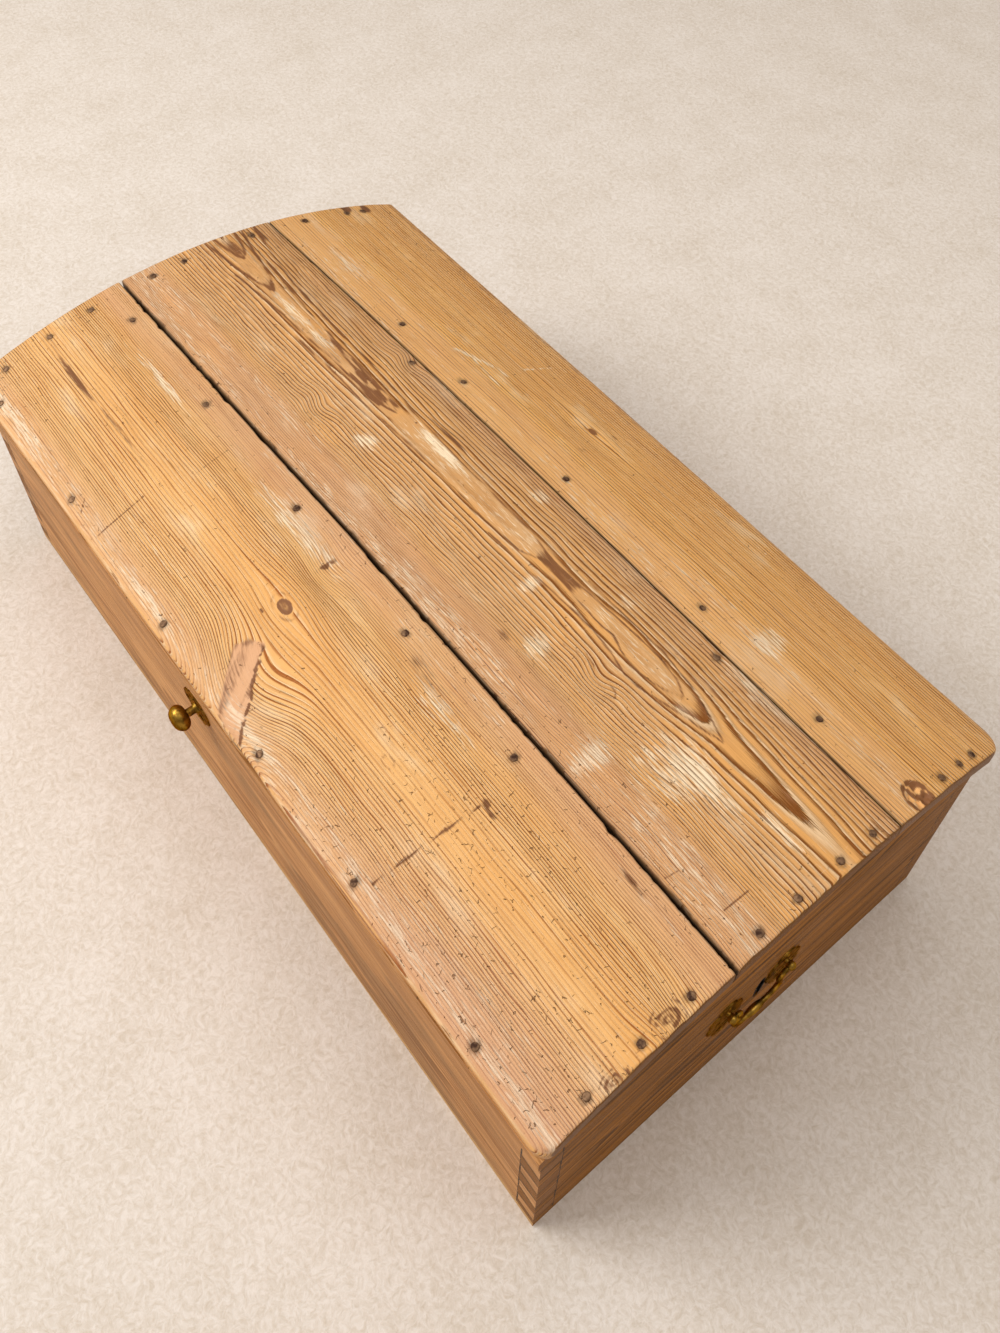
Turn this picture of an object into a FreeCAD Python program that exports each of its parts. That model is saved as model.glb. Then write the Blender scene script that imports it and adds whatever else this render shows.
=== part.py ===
"""Wooden trunk: a dovetailed pine box with a coopered dome lid and brass furniture.

Millimetres, +Z up. X runs along the trunk with the near end at +X, Y runs from the front (-Y) to the
back (+Y), and the origin is the centre of the box's underside.
"""
import FreeCAD, Part
import math
import os
from types import SimpleNamespace

import Sketcher

doc = FreeCAD.newDocument("wooden_trunk")

SIZES = {
    # box
    "box_length": 950.0,
    "box_width": 500.0,
    "box_height": 225.0,
    "wall_thickness": 22.0,
    "bottom_thickness": 11.0,
    "bottom_gap": 1.0,
    "tail_count": 4.0,
    "tail_end_height": 28.0,
    "tail_flare": 3.6,
    # lid
    "dome_radius": 690.0,
    "front_rise": 38.0,
    "lid_thickness": 20.0,
    "front_overhang": 3.0,
    "near_overhang": 3.0,
    "far_overhang": 13.0,
    "back_overhang": 40.0,
    "front_seam_place": -66.0,
    "back_seam_place": 124.0,
    "front_seam_gap": 5.5,
    "back_seam_gap": 2.0,
    "board_edge_round": 9.0,
    "back_corner_round": 14.0,
    "arch_thickness": 22.0,
    "rail_depth": 25.0,
    "batten_width": 60.0,
    "batten_thickness": 15.0,
    # nails
    "nail_head_radius": 4.6,
    "nail_crown_radius": 2.2,
    "nail_head_height": 1.7,
    "nail_head_sink": 0.5,
    "nail_shank_width": 3.0,
    "nail_tip_width": 1.2,
    "nail_shank_length": 30.0,
    "bottom_nail_inset": 11.0,
    # bail handles
    "handle_place": -13.0,
    "handle_drop": 53.0,
    "post_spacing": 70.0,
    "post_stand_off": 7.5,
    "post_ball_radius": 4.5,
    "post_neck_radius": 2.8,
    "post_stem_radius": 2.2,
    "plate_width": 34.0,
    "plate_height": 66.0,
    "plate_drop": 15.0,
    "plate_thickness": 1.6,
    "plate_pin_radius": 0.9,
    "plate_pin_head_radius": 1.7,
    "plate_pin_head_height": 0.8,
    "plate_pin_length": 9.0,
    "nut_radius": 5.0,
    "nut_thickness": 3.5,
    "thread_tail": 2.0,
    "bail_rod_radius": 2.4,
    "bail_pin_radius": 1.6,
    "bail_pin_clearance": 0.05,
    "bail_pin_depth": 1.5,
    "bail_side_gap": 0.5,
    "bail_drop": 44.0,
    "bail_neck_radius": 5.0,
    "bail_swan_radius": 16.0,
    "bail_swan_angle": 40.0,
    "bail_grip_radius": 3.9,
    "bail_grip_length": 26.0,
    # front knob
    "knob_place": -38.0,
    "knob_drop": 38.0,
    "knob_radius": 13.5,
    "knob_depth": 15.0,
    "knob_neck_radius": 4.2,
    "knob_foot_radius": 6.2,
    "knob_foot_depth": 3.0,
    "knob_reach": 27.0,
    "knob_plate_width": 44.0,
    "knob_plate_height": 40.0,
    # lock
    "keyhole_place": -3.0,
    "keyhole_drop": 73.0,
    "keyhole_radius": 4.8,
    "keyhole_slot_width": 5.2,
    "keyhole_slot_rise": 14.0,
    "keyhole_slot_drop": 28.0,
    "lock_width": 52.0,
    "lock_tallness": 104.0,
    "lock_depth": 16.0,
    "lock_top_gap": 3.0,
    "lock_screw_inset": 4.5,
    "lock_screw_drop": 26.0,
    "key_well_width": 16.0,
    "key_well_depth": 12.0,
    "bolt_length": 24.0,
    "bolt_tallness": 8.0,
    "bolt_depth": 5.0,
    "bolt_clearance": 0.08,
    "bolt_travel": 8.0,
    "bolt_start_gap": 2.0,
    "staple_place": -5.0,
    "staple_plate_width": 26.0,
    "staple_plate_tallness": 30.0,
    "staple_plate_thickness": 3.0,
    "staple_plate_lift": 3.0,
    "staple_loop_width": 5.0,
    "staple_loop_depth": 10.0,
    "staple_reach": 22.0,
    "staple_loop_wall": 2.0,
    "staple_clearance": 1.5,
    "staple_wall_gap": 1.0,
    "staple_screw_offset": 8.0,
    "screw_head_radius": 3.2,
    "screw_shank_radius": 1.5,
    "screw_shank_length": 12.0,
    "screw_head_depth": 1.4,
    # hinges
    "hinge_end_inset": 175.0,
    "hinge_length": 72.0,
    "hinge_leaf_thickness": 2.0,
    "hinge_lower_leaf": 38.0,
    "hinge_upper_leaf": 15.0,
    "hinge_barrel_radius": 4.2,
    "hinge_barrel_offset": 5.0,
    "hinge_pin_radius": 2.0,
    "hinge_pin_clearance": 0.05,
    "hinge_pin_head_radius": 3.0,
    "hinge_pin_head_height": 1.5,
    "hinge_gap": 0.4,
    "hinge_screw_offset": 24.0,
    "cut_overrun": 5.0,
}

sheet = doc.addObject("Spreadsheet::Sheet", "sizes")
for row, (alias, value) in enumerate(SIZES.items(), start=1):
    sheet.set("A%d" % row, alias)
    sheet.set("B%d" % row, str(value))
    sheet.setAlias("B%d" % row, alias)
doc.recompute()


class Size:
    """A length with the sheet expression that gives it, so shapes can be both drawn and bound."""

    def __init__(self, value, text):
        self.value = value
        self.text = text

    def __add__(self, other):
        other = as_size(other)
        return Size(self.value + other.value, "(%s + %s)" % (self.text, other.text))

    def __sub__(self, other):
        other = as_size(other)
        return Size(self.value - other.value, "(%s - %s)" % (self.text, other.text))

    def __mul__(self, other):
        other = as_size(other)
        return Size(self.value * other.value, "(%s * %s)" % (self.text, other.text))

    def __truediv__(self, other):
        other = as_size(other)
        return Size(self.value / other.value, "(%s / %s)" % (self.text, other.text))

    def __neg__(self):
        return Size(-self.value, "(0 - %s)" % self.text)

    __radd__ = __add__
    __rmul__ = __mul__


def as_size(number):
    """Return a Size, also for a plain share or count."""
    if isinstance(number, Size):
        return number
    return Size(float(number), repr(float(number)))


def root(size):
    """Square root of a Size."""
    return Size(math.sqrt(size.value), "sqrt(%s)" % size.text)


def sine(angle):
    """Sine of a Size in degrees."""
    return Size(math.sin(math.radians(angle.value)), "sin(%s)" % angle.text)


def cosine(angle):
    """Cosine of a Size in degrees."""
    return Size(math.cos(math.radians(angle.value)), "cos(%s)" % angle.text)


s = SimpleNamespace(**{alias: Size(float(sheet.get(alias)), "sizes." + alias) for alias in SIZES})
ZERO = as_size(0)

# Drawing and building helpers


def tie(thing, prop, size):
    """Bind one property to the sheet."""
    thing.setExpression(prop, as_size(size).text)


def place(thing, x, y, z, turn=None):
    """Bind a placement's position, after setting its rotation."""
    if turn is not None:
        thing.Placement = FreeCAD.Placement(FreeCAD.Vector(), turn)
    tie(thing, "Placement.Base.x", x)
    tie(thing, "Placement.Base.y", y)
    tie(thing, "Placement.Base.z", z)


def new_body(name):
    """Start a body whose label is the name of the sub-part."""
    body = doc.addObject("PartDesign::Body", name)
    body.Label = name
    return body


def new_sketch(body, name, role, lift=ZERO):
    """Add a sketch on one of the body's own origin planes, lifted along the plane's normal."""
    sketch = body.newObject("Sketcher::SketchObject", name)
    plane = next(item for item in body.Origin.OriginFeatures if item.Role == role)
    sketch.AttachmentSupport = [(plane, "")]
    sketch.MapMode = "FlatFace"
    tie(sketch, "AttachmentOffset.Base.z", lift)
    return sketch


def vector(point):
    """Turn a pair of Sizes into a sketch vector."""
    return FreeCAD.Vector(point[0].value, point[1].value, 0)


def pin_point(sketch, edge, end, point):
    """Tie one end of an edge to its place measured from the sketch's origin."""
    for kind, size in (("DistanceX", point[0]), ("DistanceY", point[1])):
        number = sketch.addConstraint(Sketcher.Constraint(kind, -1, 1, edge, end, size.value))
        sketch.setExpression("Constraints[%d]" % number, size.text)


def draw(sketch, corners, closed=True):
    """Draw an outline. A corner is (x, y) or (x, y, radius, side) with an arc to the next corner.

    Side +1 bends the arc's middle to the left of the way from this corner to the next, -1 to the
    right. All arcs are under half a circle.
    """
    points = [tuple(as_size(number) for number in corner[:2]) for corner in corners]
    edges = len(points) if closed else len(points) - 1
    ends = []
    for index in range(edges):
        here = vector(points[index])
        there = vector(points[(index + 1) % len(points)])
        if len(corners[index]) == 2:
            number = sketch.addGeometry(Part.LineSegment(here, there), False)
            ends.append((number, 1, 2))
            continue
        radius, side = as_size(corners[index][2]), corners[index][3]
        along = there - here
        left = FreeCAD.Vector(-along.y, along.x, 0) * (1.0 / along.Length)
        depth = math.sqrt(max(radius.value ** 2 - (along.Length / 2.0) ** 2, 0.0))
        centre = (here + there) * 0.5 - left * (side * depth)
        first, last = (there, here) if side > 0 else (here, there)
        angles = [math.atan2(point.y - centre.y, point.x - centre.x) for point in (first, last)]
        if angles[1] < angles[0]:
            angles[1] += 2.0 * math.pi
        circle = Part.Circle(centre, FreeCAD.Vector(0, 0, 1), radius.value)
        number = sketch.addGeometry(Part.ArcOfCircle(circle, angles[0], angles[1]), False)
        ends.append((number, 2, 1) if side > 0 else (number, 1, 2))
        bound = sketch.addConstraint(Sketcher.Constraint("Radius", number, radius.value))
        sketch.setExpression("Constraints[%d]" % bound, radius.text)
    for index, (number, start, end) in enumerate(ends):
        pin_point(sketch, number, start, points[index])
        following = ends[(index + 1) % len(ends)]
        if closed or index + 1 < len(ends):
            sketch.addConstraint(Sketcher.Constraint("Coincident", number, end, following[0], following[1]))
        else:
            pin_point(sketch, number, end, points[-1])


def draw_circle(sketch, x, y, radius):
    """Draw a circle with its centre and radius tied to the sheet."""
    x, y, radius = as_size(x), as_size(y), as_size(radius)
    circle = Part.Circle(FreeCAD.Vector(x.value, y.value, 0), FreeCAD.Vector(0, 0, 1), radius.value)
    number = sketch.addGeometry(circle, False)
    pin_point(sketch, number, 3, (x, y))
    bound = sketch.addConstraint(Sketcher.Constraint("Radius", number, radius.value))
    sketch.setExpression("Constraints[%d]" % bound, radius.text)


def rectangle(low, high):
    """Corners of a rectangle from its low to its high corner."""
    return [(low[0], low[1]), (high[0], low[1]), (high[0], high[1]), (low[0], high[1])]


def pad(body, sketch, length, backward=False):
    """Pad a sketch; backward runs against the sketch's normal."""
    feature = body.newObject("PartDesign::Pad", sketch.Name + "_pad")
    feature.Profile = sketch
    tie(feature, "Length", length)
    feature.Reversed = backward
    return feature


def pocket(body, sketch, length, backward=False):
    """Cut a sketch into the body; backward cuts along the sketch's normal."""
    feature = body.newObject("PartDesign::Pocket", sketch.Name + "_pocket")
    feature.Profile = sketch
    tie(feature, "Length", length)
    feature.Reversed = backward
    return feature


def turned(name, profile):
    """Turn a profile of (along X, radius) corners about the X axis."""
    body = new_body(name)
    sketch = new_sketch(body, name + "_profile", "XZ_Plane")
    draw(sketch, profile)
    feature = body.newObject("PartDesign::Revolution", name + "_turn")
    feature.Profile = sketch
    feature.ReferenceAxis = (sketch, ["H_Axis"])
    feature.Angle = 360.0
    return body


def block(name, low, high):
    """Box from its low to its high corner."""
    box = doc.addObject("Part::Box", name)
    low = [as_size(number) for number in low]
    high = [as_size(number) for number in high]
    for prop, start, stop in zip(("Length", "Width", "Height"), low, high):
        tie(box, prop, stop - start)
    place(box, *low)
    return box


ALONG = {
    "+X": FreeCAD.Rotation(FreeCAD.Vector(0, 1, 0), 90),
    "-X": FreeCAD.Rotation(FreeCAD.Vector(0, 1, 0), -90),
    "+Y": FreeCAD.Rotation(FreeCAD.Vector(1, 0, 0), -90),
    "-Y": FreeCAD.Rotation(FreeCAD.Vector(1, 0, 0), 90),
    "+Z": FreeCAD.Rotation(),
}


def rod(name, start, way, radius, length):
    """Round rod from its start along one of the ways in ALONG."""
    cylinder = doc.addObject("Part::Cylinder", name)
    tie(cylinder, "Radius", radius)
    tie(cylinder, "Height", length)
    place(cylinder, *start, turn=ALONG[way])
    return cylinder


def taper(name, start, way, first, second, length):
    """Round taper from its start along one of the ways in ALONG."""
    cone = doc.addObject("Part::Cone", name)
    tie(cone, "Radius1", first)
    tie(cone, "Radius2", second)
    tie(cone, "Height", length)
    place(cone, *start, turn=ALONG[way])
    return cone


def fuse(name, things):
    """Join solids into one."""
    joined = doc.addObject("Part::MultiFuse", name)
    joined.Shapes = things
    return joined


def cut(name, base, tools):
    """Cut tools out of a base."""
    tool = tools[0] if len(tools) == 1 else group(name + "_tools", tools)
    result = doc.addObject("Part::Cut", name)
    result.Base = base
    result.Tool = tool
    return result


def group(name, things):
    """Keep separate solids together as one sub-part."""
    compound = doc.addObject("Part::Compound", name)
    compound.Links = things
    return compound


parts = {}


def keep(node, thing):
    """Name a finished sub-part."""
    thing.Label = node
    parts[node] = thing
    return thing


# Shared places

half_length = s.box_length / 2
half_width = s.box_width / 2
wall_height = s.box_height - s.bottom_thickness
inner_length = half_length - s.wall_thickness
inner_width = half_width - s.wall_thickness
lid_front = -half_width - s.front_overhang
lid_back = half_width + s.back_overhang
inner_dome = s.dome_radius - s.lid_thickness
front_chord = half_width + s.front_overhang
handle_height = s.box_height - s.handle_drop
knob_height = s.box_height - s.knob_drop
keyhole_height = s.box_height - s.keyhole_drop
dome_centre = s.box_height + s.front_rise - root(s.dome_radius * s.dome_radius - front_chord * front_chord)


def outer_surface(y):
    """Height of the dome's outer surface at y."""
    return dome_centre + root(s.dome_radius * s.dome_radius - y * y)


def inner_surface(y, radius=inner_dome):
    """Height of the underside of the lid boards at y."""
    return dome_centre + root(radius * radius - y * y)


def curve_place(y):
    """Plain height and tilt of the dome's outer surface at a plain y, for nails."""
    height = dome_centre.value + math.sqrt(s.dome_radius.value ** 2 - y ** 2)
    return height, math.degrees(math.asin(y / s.dome_radius.value))


# Corner joints: tails are cut on the front and back boards, pins on the end boards

tail_pitch = wall_height / s.tail_count


def tail_edges(count):
    """Heights of a tail's lower and upper corner at its baseline and at its end."""
    middle = tail_pitch * (count + 0.5)
    half_end = s.tail_end_height / 2
    half_base = half_end - s.tail_flare
    return middle - half_base, middle - half_end, middle + half_end, middle + half_base


def tailed_board(name, y_place):
    """Long board with a row of tails at each end, drawn as its face outline."""
    body = new_body(name)
    sketch = new_sketch(body, name + "_face", "XZ_Plane")
    near_side = [(inner_length, ZERO)]
    for count in range(int(s.tail_count.value)):
        base_low, end_low, end_high, base_high = tail_edges(count)
        near_side += [
            (inner_length, base_low),
            (half_length, end_low),
            (half_length, end_high),
            (inner_length, base_high),
        ]
    near_side.append((inner_length, wall_height))
    far_side = [(-x, z) for x, z in reversed(near_side)]
    draw(sketch, near_side + far_side)
    pad(body, sketch, s.wall_thickness, backward=True)
    place(body, ZERO, y_place, s.bottom_thickness)
    return body


def pinned_board(name, near):
    """End board: a plain middle between the long boards, with pins that fill the gaps between tails."""
    body = new_body(name)
    inner, outer = (inner_length, half_length) if near else (-inner_length, -half_length)
    low, high = (inner, outer) if near else (outer, inner)
    middle = new_sketch(body, name + "_middle", "XZ_Plane", -inner_width)
    draw(middle, rectangle((low, ZERO), (high, wall_height)))
    pad(body, middle, inner_width * 2)
    pins = new_sketch(body, name + "_pins", "XZ_Plane", -half_width)
    lower_base, lower_end = ZERO, ZERO
    for count in range(int(s.tail_count.value) + 1):
        if count < int(s.tail_count.value):
            base_low, end_low, end_high, base_high = tail_edges(count)
        else:
            base_low, end_low = wall_height, wall_height
        draw(pins, [(inner, lower_base), (outer, lower_end), (outer, end_low), (inner, base_low)])
        lower_base, lower_end = base_high, end_high
    pad(body, pins, half_width * 2)
    place(body, ZERO, ZERO, s.bottom_thickness)
    return body


front_blank = tailed_board("front_blank", -half_width)
back_blank = tailed_board("back_blank", inner_width)
near_blank = pinned_board("near_blank", near=True)
far_blank = pinned_board("far_blank", near=False)

# Bottom boards, nailed up into the walls

board_step = s.box_width / 3
bottom_blanks = []
for count, side in enumerate(("front", "middle", "back")):
    low_y = -half_width + board_step * count
    high_y = low_y + board_step
    if side != "front":
        low_y = low_y + s.bottom_gap / 2
    if side != "back":
        high_y = high_y - s.bottom_gap / 2
    bottom_blanks.append(
        block("bottom_blank_" + side, (-half_length, low_y, ZERO), (half_length, high_y, s.bottom_thickness))
    )

# One hand-made nail: a low tapered head over a square shank that narrows to its tip

nail_head = taper(
    "nail_head",
    (ZERO, ZERO, -s.nail_head_sink),
    "+Z",
    s.nail_head_radius,
    s.nail_crown_radius,
    s.nail_head_height,
)
nail_shank = doc.addObject("Part::Wedge", "nail_shank")
for prop, size in (("Xmin", s.nail_tip_width), ("X2min", s.nail_shank_width)):
    for axis in (prop, prop.replace("X", "Z")):
        tie(nail_shank, axis, -size / 2)
        tie(nail_shank, axis.replace("min", "max"), size / 2)
tie(nail_shank, "Ymin", -s.nail_head_sink - s.nail_shank_length)
tie(nail_shank, "Ymax", -s.nail_head_sink)
place(nail_shank, ZERO, ZERO, ZERO, turn=FreeCAD.Rotation(FreeCAD.Vector(1, 0, 0), 90))
nail = fuse("nail", [nail_head, nail_shank])
doc.recompute()


def nail_group(name, places):
    """Copies of the nail, each at a position with a tilt about X."""
    copies = []
    for position, tilt in places:
        copy = nail.Shape.copy()
        turn = FreeCAD.Rotation(FreeCAD.Vector(1, 0, 0), tilt)
        copy.Placement = FreeCAD.Placement(FreeCAD.Vector(*position), turn)
        copies.append(copy)
    feature = doc.addObject("Part::Feature", name)
    feature.Shape = Part.makeCompound(copies)
    feature.Placement = FreeCAD.Placement()
    return keep(name, feature)


def dome_nails(name, x_shares, y_places):
    """Nails square to the dome, at shares of the half length and shares of the half width."""
    places = []
    for x_share, y_share in zip(x_shares, y_places):
        y = y_share * half_width.value
        height, tilt = curve_place(y)
        places.append(((x_share * half_length.value, y, height), -tilt))
    return nail_group(name, places)


near_arch_nail_share = 0.35
far_arch_nail_share = 0.16
rail_nail_share = 0.26
front_seam_nail_share = 0.35
back_seam_nail_share = 0.38
middle_seam_nail_share = 0.12
near_nail_x = (half_length.value - s.arch_thickness.value * near_arch_nail_share) / half_length.value
far_nail_x = -(half_length.value - s.arch_thickness.value * far_arch_nail_share) / half_length.value
near_nail_y_shares = (-0.816, -0.611, -0.414, -0.132, 0.036, 0.236, 0.395, 0.78, 0.89, 0.97)
far_nail_y_shares = (-0.876, -0.658, -0.454, -0.148, 0.008, 0.355, 0.638, 0.868, 0.96)
near_end_nails = dome_nails("near_end_nails", (near_nail_x,) * len(near_nail_y_shares), near_nail_y_shares)
far_end_nails = dome_nails("far_end_nails", (far_nail_x,) * len(far_nail_y_shares), far_nail_y_shares)
front_edge_x_shares = (-0.92, -0.573, -0.181, 0.173, 0.478, 0.815)
front_edge_y = -(half_width.value - s.rail_depth.value * rail_nail_share) / half_width.value
front_edge_nails = dome_nails("front_edge_nails", front_edge_x_shares, (front_edge_y,) * len(front_edge_x_shares))
front_seam_x_shares = (-0.897, -0.566, -0.206, 0.171, 0.497)
front_seam_y = (s.front_seam_place.value - s.batten_width.value * front_seam_nail_share) / half_width.value
front_seam_nails = dome_nails("front_seam_nails", front_seam_x_shares, (front_seam_y,) * len(front_seam_x_shares))
back_seam_x_shares = (-0.535, -0.299, 0.055, 0.467, 0.773)
middle_seam_x_shares = (-0.408, 0.568)
back_seam_y = (s.back_seam_place.value + s.batten_width.value * back_seam_nail_share) / half_width.value
middle_seam_y = (s.back_seam_place.value - s.batten_width.value * middle_seam_nail_share) / half_width.value
back_seam_nails = dome_nails(
    "back_seam_nails",
    back_seam_x_shares + middle_seam_x_shares,
    (back_seam_y,) * len(back_seam_x_shares) + (middle_seam_y,) * len(middle_seam_x_shares),
)

HEAD_DOWN = 180
bottom_x_shares = (-0.92, -0.55, -0.18, 0.18, 0.55, 0.92)
bottom_end_y_shares = (-0.55, -0.18, 0.18, 0.55)
nail_line_y = half_width.value - s.bottom_nail_inset.value
nail_line_x = half_length.value - s.bottom_nail_inset.value
bottom_places = [
    ((share * half_length.value, side * nail_line_y, s.nail_head_height.value - s.nail_head_sink.value), HEAD_DOWN)
    for share in bottom_x_shares
    for side in (-1, 1)
]
bottom_places += [
    ((side * nail_line_x, share * half_width.value, s.nail_head_height.value - s.nail_head_sink.value), HEAD_DOWN)
    for share in bottom_end_y_shares
    for side in (-1, 1)
]
bottom_nails = nail_group("bottom_nails", bottom_places)

# Lid


def lid_board(name, front, back, front_round, back_round):
    """Board that follows the dome between two places across the trunk, with rounded outer edges."""
    body = new_body(name)
    sketch = new_sketch(body, name + "_section", "YZ_Plane")
    corners = [(front, inner_surface(front), inner_dome, 1), (back, inner_surface(back))]
    if back_round:
        corners[-1] = (back - s.board_edge_round, inner_surface(back - s.board_edge_round))
        corners[-1] += (s.board_edge_round, -1)
        corners.append((back, inner_surface(back) + s.board_edge_round))
        corners.append((back, outer_surface(back) - s.board_edge_round, s.board_edge_round, -1))
        corners.append((back - s.board_edge_round, outer_surface(back - s.board_edge_round)))
    else:
        corners.append((back, outer_surface(back)))
    corners[-1] += (s.dome_radius, -1)
    if front_round:
        corners.append((front + s.board_edge_round, outer_surface(front + s.board_edge_round)))
        corners[-1] += (s.board_edge_round, -1)
        corners.append((front, outer_surface(front) - s.board_edge_round))
    else:
        corners.append((front, outer_surface(front)))
    draw(sketch, corners)
    pad(body, sketch, s.box_length + s.near_overhang + s.far_overhang)
    place(body, -half_length - s.far_overhang, ZERO, ZERO)
    return body


front_seam_half = s.front_seam_gap / 2
back_seam_half = s.back_seam_gap / 2
front_lid_blank = lid_board("front_lid_blank", lid_front, s.front_seam_place - front_seam_half, True, False)
middle_lid_blank = lid_board(
    "middle_lid_blank", s.front_seam_place + front_seam_half, s.back_seam_place - back_seam_half, False, False
)
back_lid_blank = lid_board("back_lid_blank", s.back_seam_place + back_seam_half, lid_back, False, True)

# The back board's two free corners are rounded off in plan
corner_cut = new_sketch(back_lid_blank, "back_corner_cut", "XY_Plane", s.box_height * 2)
lid_length = s.box_length + s.near_overhang + s.far_overhang
round_start = lid_back - s.back_corner_round
past_edge = lid_back + s.cut_overrun
draw(
    corner_cut,
    [
        (ZERO, round_start, s.back_corner_round, 1),
        (s.back_corner_round, lid_back),
        (s.back_corner_round, past_edge),
        (-s.cut_overrun, past_edge),
        (-s.cut_overrun, round_start),
    ],
)
draw(
    corner_cut,
    [
        (lid_length, round_start, s.back_corner_round, -1),
        (lid_length - s.back_corner_round, lid_back),
        (lid_length - s.back_corner_round, past_edge),
        (lid_length + s.cut_overrun, past_edge),
        (lid_length + s.cut_overrun, round_start),
    ],
)
pocket(back_lid_blank, corner_cut, s.box_height * 2)


def under_dome(name, front, back, bottom, low_x, high_x):
    """Piece with a flat bottom whose top follows the underside of the boards."""
    body = new_body(name)
    sketch = new_sketch(body, name + "_section", "YZ_Plane")
    draw(
        sketch,
        [
            (front, bottom),
            (back, bottom),
            (back, inner_surface(back), inner_dome, -1),
            (front, inner_surface(front)),
        ],
    )
    pad(body, sketch, high_x - low_x)
    place(body, low_x, ZERO, ZERO)
    return body


rail_back = lid_front + s.rail_depth
rail_front = half_width - s.rail_depth
arch_inner = half_length - s.arch_thickness
near_arch_blank = under_dome("near_arch_blank", rail_back, rail_front, s.box_height, arch_inner, half_length)
far_arch_blank = under_dome("far_arch_blank", rail_back, rail_front, s.box_height, -half_length, -arch_inner)
front_rail_blank = under_dome("front_rail_blank", lid_front, rail_back, s.box_height, -half_length, half_length)
back_rail_blank = under_dome("back_rail_blank", rail_front, half_width, s.box_height, -half_length, half_length)


def batten(name, middle):
    """Batten under a seam, bent to the dome."""
    body = new_body(name)
    sketch = new_sketch(body, name + "_section", "YZ_Plane")
    front = middle - s.batten_width / 2
    back = middle + s.batten_width / 2
    low_radius = inner_dome - s.batten_thickness
    draw(
        sketch,
        [
            (front, inner_surface(front, low_radius), low_radius, 1),
            (back, inner_surface(back, low_radius)),
            (back, inner_surface(back), inner_dome, -1),
            (front, inner_surface(front)),
        ],
    )
    pad(body, sketch, arch_inner * 2)
    place(body, -arch_inner, ZERO, ZERO)
    return body


front_batten_blank = batten("front_batten_blank", s.front_seam_place)
back_batten_blank = batten("back_batten_blank", s.back_seam_place)

# Brass plates


handle_pierced_shares = ((0.56, 0.10), (-0.56, 0.10), (0.0, -0.22), (0.28, -0.50), (-0.28, -0.50))
knob_pierced_shares = ((0.60, 0.06), (-0.60, 0.06), (0.34, 0.50), (-0.34, 0.50), (0.34, -0.44), (-0.34, -0.44))
cusp_shares = ((0.0, 1.0), (0.60, 0.66), (1.0, 0.10), (0.66, -0.52), (0.0, -1.0))
scallop_share = 0.62
hole_share = 0.19
pin_share = 0.80


def plate(name, width, height, post_rise, pierced_shares):
    """Pierced plate in the YZ plane, its outline a run of outward scallops, its back at x = 0.

    The outline and the piercings are shares of the half width and half height.
    """
    body = new_body(name)
    sketch = new_sketch(body, name + "_outline", "YZ_Plane")
    right = list(cusp_shares)
    left = [(-y, z) for y, z in reversed(cusp_shares[1:-1])]
    ring = right + left
    corners = []
    for index, (y, z) in enumerate(ring):
        next_y, next_z = ring[(index + 1) % len(ring)]
        across = width / 2 * (next_y - y)
        upward = height / 2 * (next_z - z)
        chord = root(across * across + upward * upward)
        corners.append((width / 2 * y, height / 2 * z, chord * scallop_share, 1))
    draw(sketch, corners)
    pad(body, sketch, s.plate_thickness)
    holes = new_sketch(body, name + "_piercings", "YZ_Plane", s.plate_thickness)
    draw_circle(holes, ZERO, post_rise, s.post_stem_radius)
    for y, z in pierced_shares:
        draw_circle(holes, width / 2 * y, height / 2 * z, width / 2 * hole_share)
    for side in (1, -1):
        draw_circle(holes, ZERO, height / 2 * (pin_share * side), s.plate_pin_radius)
    pocket(body, holes, s.plate_thickness)
    return body


def plate_pins(name, places, way, into):
    """Small dome-headed pins that hold a plate, at places on its outer face."""
    pins = []
    for count, start in enumerate(places):
        label = "%s_%d" % (name, count)
        head = taper(label + "_head", start, way, s.plate_pin_head_radius, s.plate_pin_radius, s.plate_pin_head_height)
        shank = rod(label + "_shank", start, into, s.plate_pin_radius, s.plate_pin_length)
        pins.append(fuse(label, [head, shank]))
    return keep(name, group(name, pins))


def six_sided_nut(name, start, way, bore):
    """Six-sided nut with its bore, from its seat along a way."""
    prism = doc.addObject("Part::Prism", name + "_prism")
    prism.Polygon = 6
    tie(prism, "Circumradius", s.nut_radius)
    tie(prism, "Height", s.nut_thickness)
    place(prism, *start, turn=ALONG[way])
    hole = rod(name + "_bore", start, way, bore, s.nut_thickness)
    return cut(name, prism, [hole])


# Bail handles, one on each end

post_inner = s.wall_thickness + s.nut_thickness + s.thread_tail
ball_start = s.post_stand_off - root(
    s.post_ball_radius * s.post_ball_radius - s.post_neck_radius * s.post_neck_radius
)


def handle_post(name):
    """Post turned about X: a stem through the end board, a neck, and a ball that holds the bail."""
    body = turned(
        name,
        [
            (-post_inner, ZERO),
            (-post_inner, s.post_stem_radius),
            (s.plate_thickness, s.post_stem_radius),
            (s.plate_thickness, s.post_neck_radius),
            (ball_start, s.post_neck_radius, s.post_ball_radius, 1),
            (s.post_stand_off, s.post_ball_radius, s.post_ball_radius, 1),
            (s.post_stand_off + s.post_ball_radius, ZERO),
        ],
    )
    return body


half_spacing = s.post_spacing / 2
rod_start = half_spacing - s.post_ball_radius - s.bail_side_gap
swan_out_y = rod_start - s.bail_neck_radius
swan_sine = sine(s.bail_swan_angle)
swan_cosine = cosine(s.bail_swan_angle)
swan_y = swan_out_y - s.bail_neck_radius + s.bail_swan_radius - s.bail_swan_radius * swan_cosine
swan_z = -s.bail_neck_radius - s.bail_swan_radius * swan_sine
bow_radius = (s.bail_drop + swan_z) / (swan_sine + 1)
bow_y = swan_y - bow_radius * swan_cosine


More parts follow.
